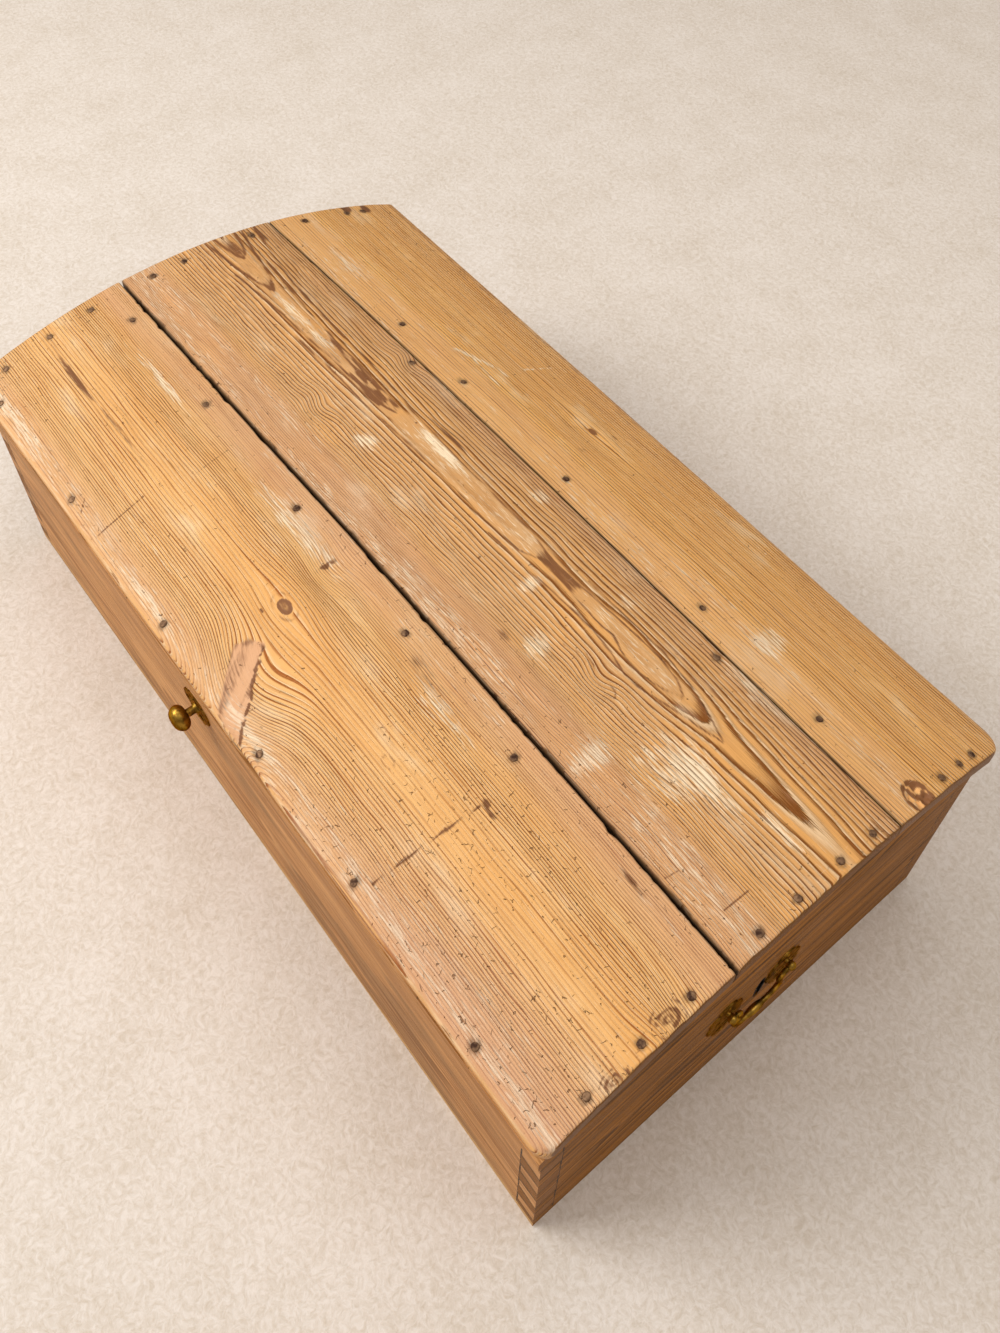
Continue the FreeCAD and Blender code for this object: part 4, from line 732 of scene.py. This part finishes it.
def scrubbed_pine(name, early, late, contrast, gloss, wood):
    """Old pine lid board, planed once, then scrubbed and waxed for a century. The hard late wood is darker
    and stands proud as fine lines, the straw between is dull, and rubbed patches are paler and drier."""
    material, add, surface_link = new_finish(name, Roughness=gloss, IOR=1.5, **{"Specular IOR Level": 0.25})
    place = add("TexCoord", out="Object")
    rings, cut = (add("Attribute", out="Fac", attribute_name=kept) for kept in ("rings", "cut"))
    grain, tone = (add("Attribute", out="Vector", attribute_name=kept) for kept in ("grain", "tone"))
    # the alpha of marks is the dirt of seams, ends and nails, together with the painted shade under the broken front
    # edge
    marks, grime_and_shade = (add("Attribute", out=part, attribute_name="marks") for part in ("Color", "Alpha"))
    dense, wax, plain = (add("SeparateXYZ", tone, out=part) for part in range(3))
    dark, pale, rosy = (add("SeparateColor", marks, out=part) for part in range(3))
    # fibres: real ones are 0.03 mm wide, drawn 0.8 mm wide and 60 mm long so that they show. Streaks 8 mm
    # wide and 200 mm long, clouds of old wax 40 mm by 120 mm, breaks in scuffs and stains 20 mm by 2 mm
    fibre, streaks, clouds, breaks = (
        add("TexNoise", add("Mapping", grain, Scale=scale), Scale=1.0, Detail=detail, Roughness=rough)
        for scale, detail, rough in (((16.0, 1200.0, 120.0), 3.0, 0.62), ((5.0, 130.0, 60.0), 3.0, 0.6),
                                     ((8.0, 24.0, 24.0), 4.0, 0.6), ((48.0, 520.0, 200.0), 3.0, 0.6)))
    figured = add("Math", 1.0, plain, operation="SUBTRACT")
    line, lip = (add("Math", part, figured, operation="MULTIPLY")
                 for part in growth_ring(add, rings, fibre, 0.42))
    ringed = add("Math", fibre, 0.9, add("Math", streaks, 0.9, -0.92))
    ringed = add("Math", line, contrast, ringed, use_clamp=True)
    waxed = add("MapRange", add("Math", wax, 0.22, clouds), 0.40, 0.75, 0.0, 0.75)
    dry = add("MapRange", clouds, 0.44, 0.28, 0.0, 0.35)
    stain = add("MapRange", add("Math", breaks, 1.3, dark), 0.78, 1.45, 0.0, 0.95)
    # scuffs with broken outlines: the pale film lies between the ridges and thinner over them
    bare = add("Math", pale, 0.62, add("Math", breaks, 1.7, operation="MULTIPLY"))
    bare = add("MapRange", bare, 1.04, 1.5)

    # hair cracks: broken pieces of the edges of 12 mm cells, 0.4 mm wide
    bent = add("TexNoise", place, Scale=90.0, Detail=2.0, out="Color")
    bent = add("VectorMath", bent, (0.012, 0.012, 0.012), place)
    edge = add("TexVoronoi", bent, Scale=85.0, feature="DISTANCE_TO_EDGE")
    thin = add("MapRange", edge, 0.008, 0.026, 1.0, 0.0)
    broken = add("TexNoise", place, Scale=230.0, Detail=2.0)
    broken = add("MapRange", add("Math", dense, 0.09, broken), 0.655, 0.72)
    crack = add("Math", thin, broken, operation="MULTIPLY")
    # dents and worm holes: dots 1 mm across in one of many 8 mm cells
    cell, chance = (add("TexVoronoi", place, Scale=120.0, out=part) for part in ("Distance", "Color"))
    chance = add("Math", dense, 0.045, add("SeparateColor", chance))
    chosen = add("MapRange", chance, 0.982, 0.99, interpolation_type="LINEAR")
    dot = add("MapRange", cell, 0.045, 0.09, 1.0, 0.0)
    dot = add("Math", dot, chosen, operation="MULTIPLY")
    fleck = add("Math", crack, dot, operation="MAXIMUM")
    # rubbed scratches: pale hairs 0.5 mm wide and 14 mm long, across the grain
    hair = add("Mapping", grain, Scale=(1700.0, 70.0, 200.0))
    hair = add("TexNoise", hair, Scale=1.0, Detail=2.0)
    hair = add("MapRange", hair, 0.68, 0.76, 0.0, 0.45)

    # painted highlight: the pale lip after each ring line is made paler, as if the ridges caught the light; painted
    # shade: the grime share also darkens the nosing under the broken front edge
    film, painted_highlight, blush, shown, packed_grime_and_shade = (
        add("Math", share, most, operation="MULTIPLY")
        for share, most in ((bare, 0.35), (lip, 0.5), (rosy, 0.55), (fleck, 0.75), (grime_and_shade, 0.9)))
    shade = early
    for share, coat in ((waxed, wood.honey), (bare, wood.scuffed_and_highlight), (ringed, late), (painted_highlight, wood.scuffed_and_highlight),
                        (dry, wood.scuffed_and_highlight), (blush, wood.rosy), (film, wood.scuffed_and_highlight), (stain, wood.knot),
                        (shown, wood.knot), (hair, wood.scuffed_and_highlight), (packed_grime_and_shade, wood.grime_and_shade),
                        (cut, end_grain(add, place, line, wood))):
        shade = add("Mix", Factor=share, A=shade, B=coat)
    surface_link(shade, "Base Color")
    surface_link(add("Math", clouds, 0.3, gloss - 0.15), "Roughness")
    # ridges, fibres and flecks as relief 1.4 mm high at most
    height = add("Math", line, 0.5, add("Math", fibre, 0.35, operation="MULTIPLY"))
    for form, share in ((fleck, -1.2), (lip, -0.45), (bare, 0.25)):
        height = add("Math", form, share, height)
    surface_link(add("Bump", Strength=1.0, Distance=0.0014, Height=height), "Normal")
    return material


# the dovetails in mm: foot of the first tail, pitch, half height and flare, wall thickness, half box
TAILS = {"low": 11.0, "pitch": 53.5, "half": 14.0, "flare": 3.6, "wall": 22.0,
         "half_width": 250.0, "half_length": 475.0}


def joint_lines(add, place, along):
    """Dirt in the dovetail joints: lines 2 mm wide where |c| meets the wall behind, and in the corner zone
    where |fract((z - low)/pitch) - 1/2| pitch equals half a tail, less the flare towards its root."""
    end, flare = (TAILS["half_length"], TAILS["flare"]) if along == 0 else (TAILS["half_width"], 0.0)
    reach = add("Math", add("SeparateXYZ", place, out=along), operation="ABSOLUTE")
    behind = add("Math", reach, (end - TAILS["wall"]) * MM, operation="SUBTRACT")
    corner = add("MapRange", behind, -0.0006, 0.0, interpolation_type="LINEAR")
    root = add("Math", behind, 0.0, 0.0009, operation="COMPARE")
    turn = add("SeparateXYZ", place, out=2)
    for operation, *value in (("SUBTRACT", TAILS["low"] * MM), ("DIVIDE", TAILS["pitch"] * MM), ("FRACT",),
                              ("SUBTRACT", 0.5), ("ABSOLUTE",)):
        turn = add("Math", turn, *value, operation=operation)
    half = add("Math", behind, flare / TAILS["wall"] / TAILS["pitch"] / MM,
               (TAILS["half"] - flare) / TAILS["pitch"])
    cheek = add("Math", turn, half, 1.0 / TAILS["pitch"], operation="COMPARE")
    cheek = add("Math", cheek, corner, operation="MULTIPLY")
    return add("Math", cheek, root, operation="MAXIMUM")


def sawn_pine(name, early, late, along, pith, spacing, gloss, wood, stained=0.0, jointed=False, keyhole_shade=None):
    """Pine board with its rings as long cones round a pith line: long ovals on its face, arcs on its ends.
    Waxed brown outside, so it looks like dark honey with greyer, drier ends and stains in its hollows."""
    material, add, surface_link = new_finish(name, Roughness=gloss, IOR=1.5, **{"Specular IOR Level": 0.08})
    place = add("TexCoord", out="Object")

    def stretch(lengthwise, crosswise):
        return [lengthwise if axis == along else crosswise for axis in range(3)]

    moved = add("Mapping", place, Location=[-c * MM for c in pith])
    # the pith line wanders 30 mm at most, in waves 330 mm along the board
    wander = add("Mapping", place, Scale=stretch(3.0, 14.0))
    wander = add("TexNoise", wander, Scale=1.0, Detail=2.0, out="Color")
    moved = add("VectorMath", wander, (0.030, 0.030, 0.030), moved)
    cone = add("Mapping", moved, Scale=stretch(0.028, 1.0))
    radius = add("VectorMath", cone, out="Value", operation="LENGTH")
    rings = add("Math", radius, spacing * MM, operation="DIVIDE")
    # fibres 1 mm wide and 70 mm long, streaks 10 mm by 250 mm, clouds 45 mm by 170 mm
    fibre, streaks, clouds = (
        add("TexNoise", add("Mapping", place, Scale=stretch(*scales)),
                         Scale=1.0, Detail=detail, Roughness=rough)
        for scales, detail, rough in (((14.0, 1000.0), 3.0, 0.62), ((4.0, 95.0), 4.0, 0.68), ((6.0, 22.0), 4.0, 0.62)))
    line, lip = growth_ring(add, rings, fibre, 0.55)
    ringed = add("Math", streaks, 3.0, -1.5)
    ringed = add("Math", fibre, 0.7, ringed)
    ringed = add("Math", line, 0.7, ringed)
    # painted highlight: the pale lip after each ring line takes less late wood
    ringed = add("Math", lip, -0.25, ringed, use_clamp=True)
    stain = add("MapRange", clouds, 0.46, 0.66, 0.0, stained)
    dents = add("TexNoise", place, Scale=260.0, Detail=2.0)
    dents = add("MapRange", dents, 0.66, 0.74, 0.0, 0.6)
    facing = add("SeparateXYZ", add("TexCoord", out="Normal"), out=along)
    facing = add("Math", facing, operation="ABSOLUTE")
    cut = add("MapRange", facing, 0.6, 0.8, 0.0, 0.85)
    coats = [(ringed, late), (stain, wood.handled), (dents, wood.grime_and_shade), (cut, end_grain(add, place, line, wood))]
    if jointed:
        gaps = add("TexNoise", place, Scale=150.0, Detail=1.0)
        gaps = add("MapRange", gaps, 0.32, 0.52, 0.5, 1.0)
        gaps = add("Math", gaps, joint_lines(add, place, along), operation="MULTIPLY")
        coats.append((gaps, wood.grime_and_shade))
    if keyhole_shade:
        # painted shade: black over the keyhole's walls and round its edge, standing in for the dark inside: an oval of
        # half sizes `size` about its middle
        middle, size = keyhole_shade
        inner = add("Mapping", place, Scale=[1 / (half * MM) for half in size],
                                Location=[-at / half for at, half in zip(middle, size)])
        inner = add("VectorMath", inner, out="Value", operation="LENGTH")
        coats.append((add("MapRange", inner, 1.15, 0.85), wood.keyhole_shade))
    shade = early
    for share, coat in coats:
        shade = add("Mix", Factor=share, A=shade, B=coat)
    surface_link(shade, "Base Color")
    surface_link(add("Math", clouds, 0.3, gloss - 0.15), "Roughness")
    height = add("Math", dents, -1.5, add("Math", line, 0.6, fibre))
    surface_link(add("Bump", Strength=0.8, Distance=0.0006, Height=height), "Normal")
    return material


def aged_brass(metal):
    """Cast and pressed brass, handled and never polished: rubbed warm gold on brown tarnish, soft gloss."""
    material, add, surface_link = new_finish("aged_cast_brass", Metallic=1.0, Roughness=0.36,
                                             **{"Specular Tint": metal.brass})
    place = add("TexCoord", out="Object")
    # tarnish clouds 9 mm across, pits 1 mm across
    cloud = add("TexNoise", place, Scale=110.0, Detail=4.0, Roughness=0.62)
    pits = add("TexNoise", place, Scale=1000.0, Detail=2.0)
    tarnished = add("MapRange", cloud, 0.36, 0.66, 0.1, 0.85)
    surface_link(add("Mix", Factor=tarnished, A=metal.brass, B=metal.tarnish), "Base Color")
    surface_link(add("MapRange", cloud, 0.3, 0.7, 0.26, 0.52, interpolation_type="LINEAR"), "Roughness")
    surface_link(add("Bump", Strength=0.25, Distance=0.0003, Height=pits), "Normal")
    return material


def old_iron(name, iron, rust):
    """Hand-forged iron, black oxide gone brown: dull grey with rust, almost no shine."""
    material, add, surface_link = new_finish(name, Metallic=0.75, Roughness=0.62)
    place = add("TexCoord", out="Object")
    # rust blooms 5 mm across, hammer scale 0.7 mm across
    bloom = add("TexNoise", place, Scale=190.0, Detail=4.0, Roughness=0.6)
    scale = add("TexNoise", place, Scale=1400.0, Detail=2.0)
    surface_link(add("Mix", Factor=add("MapRange", bloom, 0.40, 0.65), A=iron, B=rust), "Base Color")
    surface_link(add("MapRange", bloom, 0.35, 0.7, 0.5, 0.8, interpolation_type="LINEAR"), "Roughness")
    surface_link(add("Bump", Strength=0.4, Distance=0.0003, Height=scale), "Normal")
    return material


def plain_floor(stage):
    """Matt pale floor with faint clouds 90 mm across and a felted skin of 5 mm flecks."""
    material, add, surface_link = new_finish("pale_floor", Roughness=0.9)
    place = add("TexCoord", out="Object")
    cloud = add("TexNoise", place, Scale=11.0, Detail=3.0, Roughness=0.6)
    bent = add("TexNoise", place, Scale=60.0, Detail=2.0, out="Color")
    bent = add("VectorMath", bent, (0.02, 0.02, 0.02), place)
    fleck = add("TexNoise", bent, Scale=190.0, Detail=3.0, Roughness=0.7)
    worn = add("Math", fleck, 2.6, -1.3)
    worn = add("Math", cloud, 0.8, worn, use_clamp=True)
    surface_link(add("Mix", Factor=worn, A=stage.floor, B=stage.worn_floor), "Base Color")
    surface_link(add("Bump", Strength=0.5, Distance=0.001, Height=fleck), "Normal")
    return material


def finish_nodes(material, *names):
    """Gives CAD nodes a finish through their objects' slots."""
    for name in names:
        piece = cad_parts[name]
        while len(piece.material_slots) < 1:
            piece.data.materials.append(None)
        for slot in piece.material_slots:
            slot.link = "OBJECT"
            slot.material = material


# Operators

class TRUNK_OT_lid_boards(bpy.types.Operator):
    """Builds the three worn boards of the dome lid"""
    bl_idname = "trunk.lid_boards"
    bl_label = "Lid boards"

    def execute(self, context):
        wood = context.scene.trunk_wood
        nails = nail_places(*LID_NAILS)
        # board, its early and late wood, contrast of the rings, roughness
        for board, *looks in (("front", wood.front_early, wood.front_late, 1.75, 0.50),
                              ("middle", wood.middle_early, wood.middle_late, 1.45, 0.55),
                              ("back", wood.back_early, wood.back_late, 1.3, 0.46)):
            node = board + "_lid_board"
            low, high = (corner.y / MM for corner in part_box(node))
            lid_board(node, context.scene.trunk_lid, scrubbed_pine("scrubbed_pine_" + board, *looks, wood),
                      [nail for nail in nails if low < nail[1] < high])
        return {"FINISHED"}


class TRUNK_OT_box_boards(bpy.types.Operator):
    """Finishes the dovetailed box boards, the arches, rails, battens and bottom"""
    bl_idname = "trunk.box_boards"
    bl_label = "Box boards"

    def execute(self, context):
        wood = context.scene.trunk_wood
        wall, end = (wood.wall_early, wood.wall_late), (wood.end_early, wood.end_late)
        inside = (wood.inside_early, wood.inside_late)
        # place and half sizes of the painted shade over the keyhole
        keyhole_shade_oval = ((475, -3, 147), (60, 6.0, 23))
        # nodes: name, colours, axis of the grain, pith and ring spacing in mm, roughness, stains, joints, painted
        # keyhole shade
        for nodes, name, shades, along, pith, spacing, gloss, *rest in (
            (("front_board",), "waxed_pine_front", wall, 0, (60, -190, 90), 4.6, 0.5, 0.4, True),
            (("back_board",), "waxed_pine_back", wall, 0, (-120, 180, 130), 5.0, 0.55, 0.4, True),
            (("near_end_board",), "waxed_pine_near_end", end, 1, (430, 60, 110), 4.4, 0.5, 0.2, True, keyhole_shade_oval),
            (("far_end_board",), "waxed_pine_far_end", end, 1, (-420, -40, 150), 4.4, 0.5, 0.2, True),
            (("lid_front_rail", "lid_back_rail"), "waxed_pine_rails", wall, 0, (20, -260, 280), 4.2, 0.55, 0.3),
            (("near_lid_arch", "far_lid_arch"), "waxed_pine_arches", end, 1, (-400, 30, 190), 4.2, 0.55, 0.2),
            (("bottom_board_front", "bottom_board_middle", "bottom_board_back", "front_seam_batten",
              "back_seam_batten"), "bare_pine_inside", inside, 0, (0, 20, -60), 5.5, 0.7),
        ):
            finish_nodes(sawn_pine(name, *shades, along, pith, spacing, gloss, wood, *rest), *nodes)
        return {"FINISHED"}


class TRUNK_OT_nail_heads(bpy.types.Operator):
    """Builds the worn heads of the nails in the lid"""
    bl_idname = "trunk.nail_heads"
    bl_label = "Nail heads"

    def execute(self, context):
        metal = context.scene.trunk_metal
        finish = old_iron("worn_nail_iron", metal.nail, metal.rust)
        for seed, node in enumerate(LID_NAILS):
            nail_heads(node, context.scene.trunk_lid, finish, seed)
        return {"FINISHED"}


class TRUNK_OT_ironwork(bpy.types.Operator):
    """Finishes the screws, hinges, lock and the nails of the bottom"""
    bl_idname = "trunk.ironwork"
    bl_label = "Ironwork"

    def execute(self, context):
        metal = context.scene.trunk_metal
        names = [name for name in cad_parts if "screws" in name or "hinge" in name
                 or name in ("lock_case", "lid_staple", "lock_bolt", "bottom_nails")]
        finish_nodes(old_iron("forged_iron", metal.iron, metal.rust), *names)
        return {"FINISHED"}


class TRUNK_OT_brass(bpy.types.Operator):
    """Finishes the knob, its plate and the two bail handles"""
    bl_idname = "trunk.brass"
    bl_label = "Brass handles and knob"

    def execute(self, context):
        names = [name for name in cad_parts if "handle" in name or "bail" in name or "knob" in name]
        finish_nodes(aged_brass(context.scene.trunk_metal), *names)
        return {"FINISHED"}


class TRUNK_OT_stage(bpy.types.Operator):
    """Adds the pale floor, the soft lamps and the camera at the picture's viewing angle"""
    bl_idname = "trunk.stage"
    bl_label = "Floor, lamps and camera"

    def execute(self, context):
        scene, stage = context.scene, context.scene.trunk_stage
        # floor swept up into a far backdrop: distance d outwards, height (d - 5)^2 / 3 beyond 5 m
        rings, sides, flat, reach = 46, 96, 5, 9
        turns = np.linspace(0, 2 * math.pi, sides + 1)[:-1]
        d, a = np.meshgrid(np.linspace(0, reach, rings), turns, indexing="ij")
        points = np.stack([d * np.cos(a), d * np.sin(a), np.clip(d - flat, 0, None) ** 2 / 3], -1).reshape(-1, 3)
        floor = surface("pale_floor", points, polar_quads(rings, sides), plain_floor(stage))
        # lamps look at the middle of the floor: place, size in metres, power
        for name, place, size, power in (("key_lamp", (-1.9, -2.3, 2.7), 2.2, stage.key_power),
                                         ("top_lamp", (0.3, 0.4, 3.4), 2.6, stage.key_power * 0.36)):
            lamp = bpy.data.lights.new(name, "AREA")
            lamp.energy, lamp.size = power, size
            stand = Matrix.Translation(place)
            turn = (-stand.translation).to_track_quat("-Z", "Y").to_matrix().to_4x4()
            linked(name, lamp).matrix_world = stand @ turn
        world = bpy.data.worlds.new("even_light")
        world.use_nodes = True
        sky = world.node_tree.nodes["Background"].inputs
        sky["Color"].default_value, sky["Strength"].default_value = (1.0, 0.985, 0.96, 1), stage.sky
        scene.world = world
        lens = bpy.data.cameras.new("camera")
        lens.sensor_width, lens.lens = 36.0, stage.lens
        lens.shift_x, lens.shift_y = -0.0287, -0.1505
        lens.clip_start, lens.clip_end = 0.01, 100
        # looking direction from its azimuth and dip, then rolled
        azimuth, dip, roll, eye = 2.4178, 0.8685, 0.0501, (0.61307, -0.40928, 1.26742)
        view = np.array([math.cos(dip) * math.cos(azimuth), math.cos(dip) * math.sin(azimuth), -math.sin(dip)])
        level = np.cross(view, (0, 0, 1))
        level /= np.linalg.norm(level)
        up = np.cross(level, view)
        right, top = math.cos(roll) * level + math.sin(roll) * up, math.cos(roll) * up - math.sin(roll) * level
        axes = np.eye(4)
        axes[:3] = np.stack([right, top, -view, eye], 1)
        camera = linked("camera", lens)
        camera.matrix_world = Matrix(axes.tolist())
        scene.camera = camera
        scene.view_settings.view_transform = "Standard"
        return {"FINISHED"}


class TRUNK_PT_panel(bpy.types.Panel):
    """Lists the trunk's sizes, colours and pieces"""
    bl_idname = "TRUNK_PT_panel"
    bl_label = "Wooden trunk"
    bl_space_type = "VIEW_3D"
    bl_region_type = "UI"
    bl_category = "Trunk"

    def draw(self, context):
        for group in (getattr(context.scene, name) for name in GROUPS):
            box = self.layout.box()
            for name in group.__annotations__:
                box.prop(group, name)
        for operator in OPERATORS:
            self.layout.operator(operator.bl_idname)


GROUPS = {"trunk_lid": TrunkLidSizes, "trunk_wood": TrunkWoodColours, "trunk_metal": TrunkMetalColours,
          "trunk_stage": TrunkStageSizes}
OPERATORS = (TRUNK_OT_lid_boards, TRUNK_OT_box_boards, TRUNK_OT_nail_heads, TRUNK_OT_ironwork, TRUNK_OT_brass,
             TRUNK_OT_stage)
CLASSES = (*GROUPS.values(), *OPERATORS, TRUNK_PT_panel)


def register():
    for part in CLASSES:
        bpy.utils.register_class(part)
    for name, group in GROUPS.items():
        setattr(bpy.types.Scene, name, PointerProperty(type=group))


def unregister():
    for name in GROUPS:
        delattr(bpy.types.Scene, name)
    for part in reversed(CLASSES):
        bpy.utils.unregister_class(part)


def main():
    register()
    bpy.ops.trunk.lid_boards()
    bpy.ops.trunk.box_boards()
    bpy.ops.trunk.nail_heads()
    bpy.ops.trunk.ironwork()
    bpy.ops.trunk.brass()
    bpy.ops.trunk.stage()


if __name__ == "__main__":
    main()
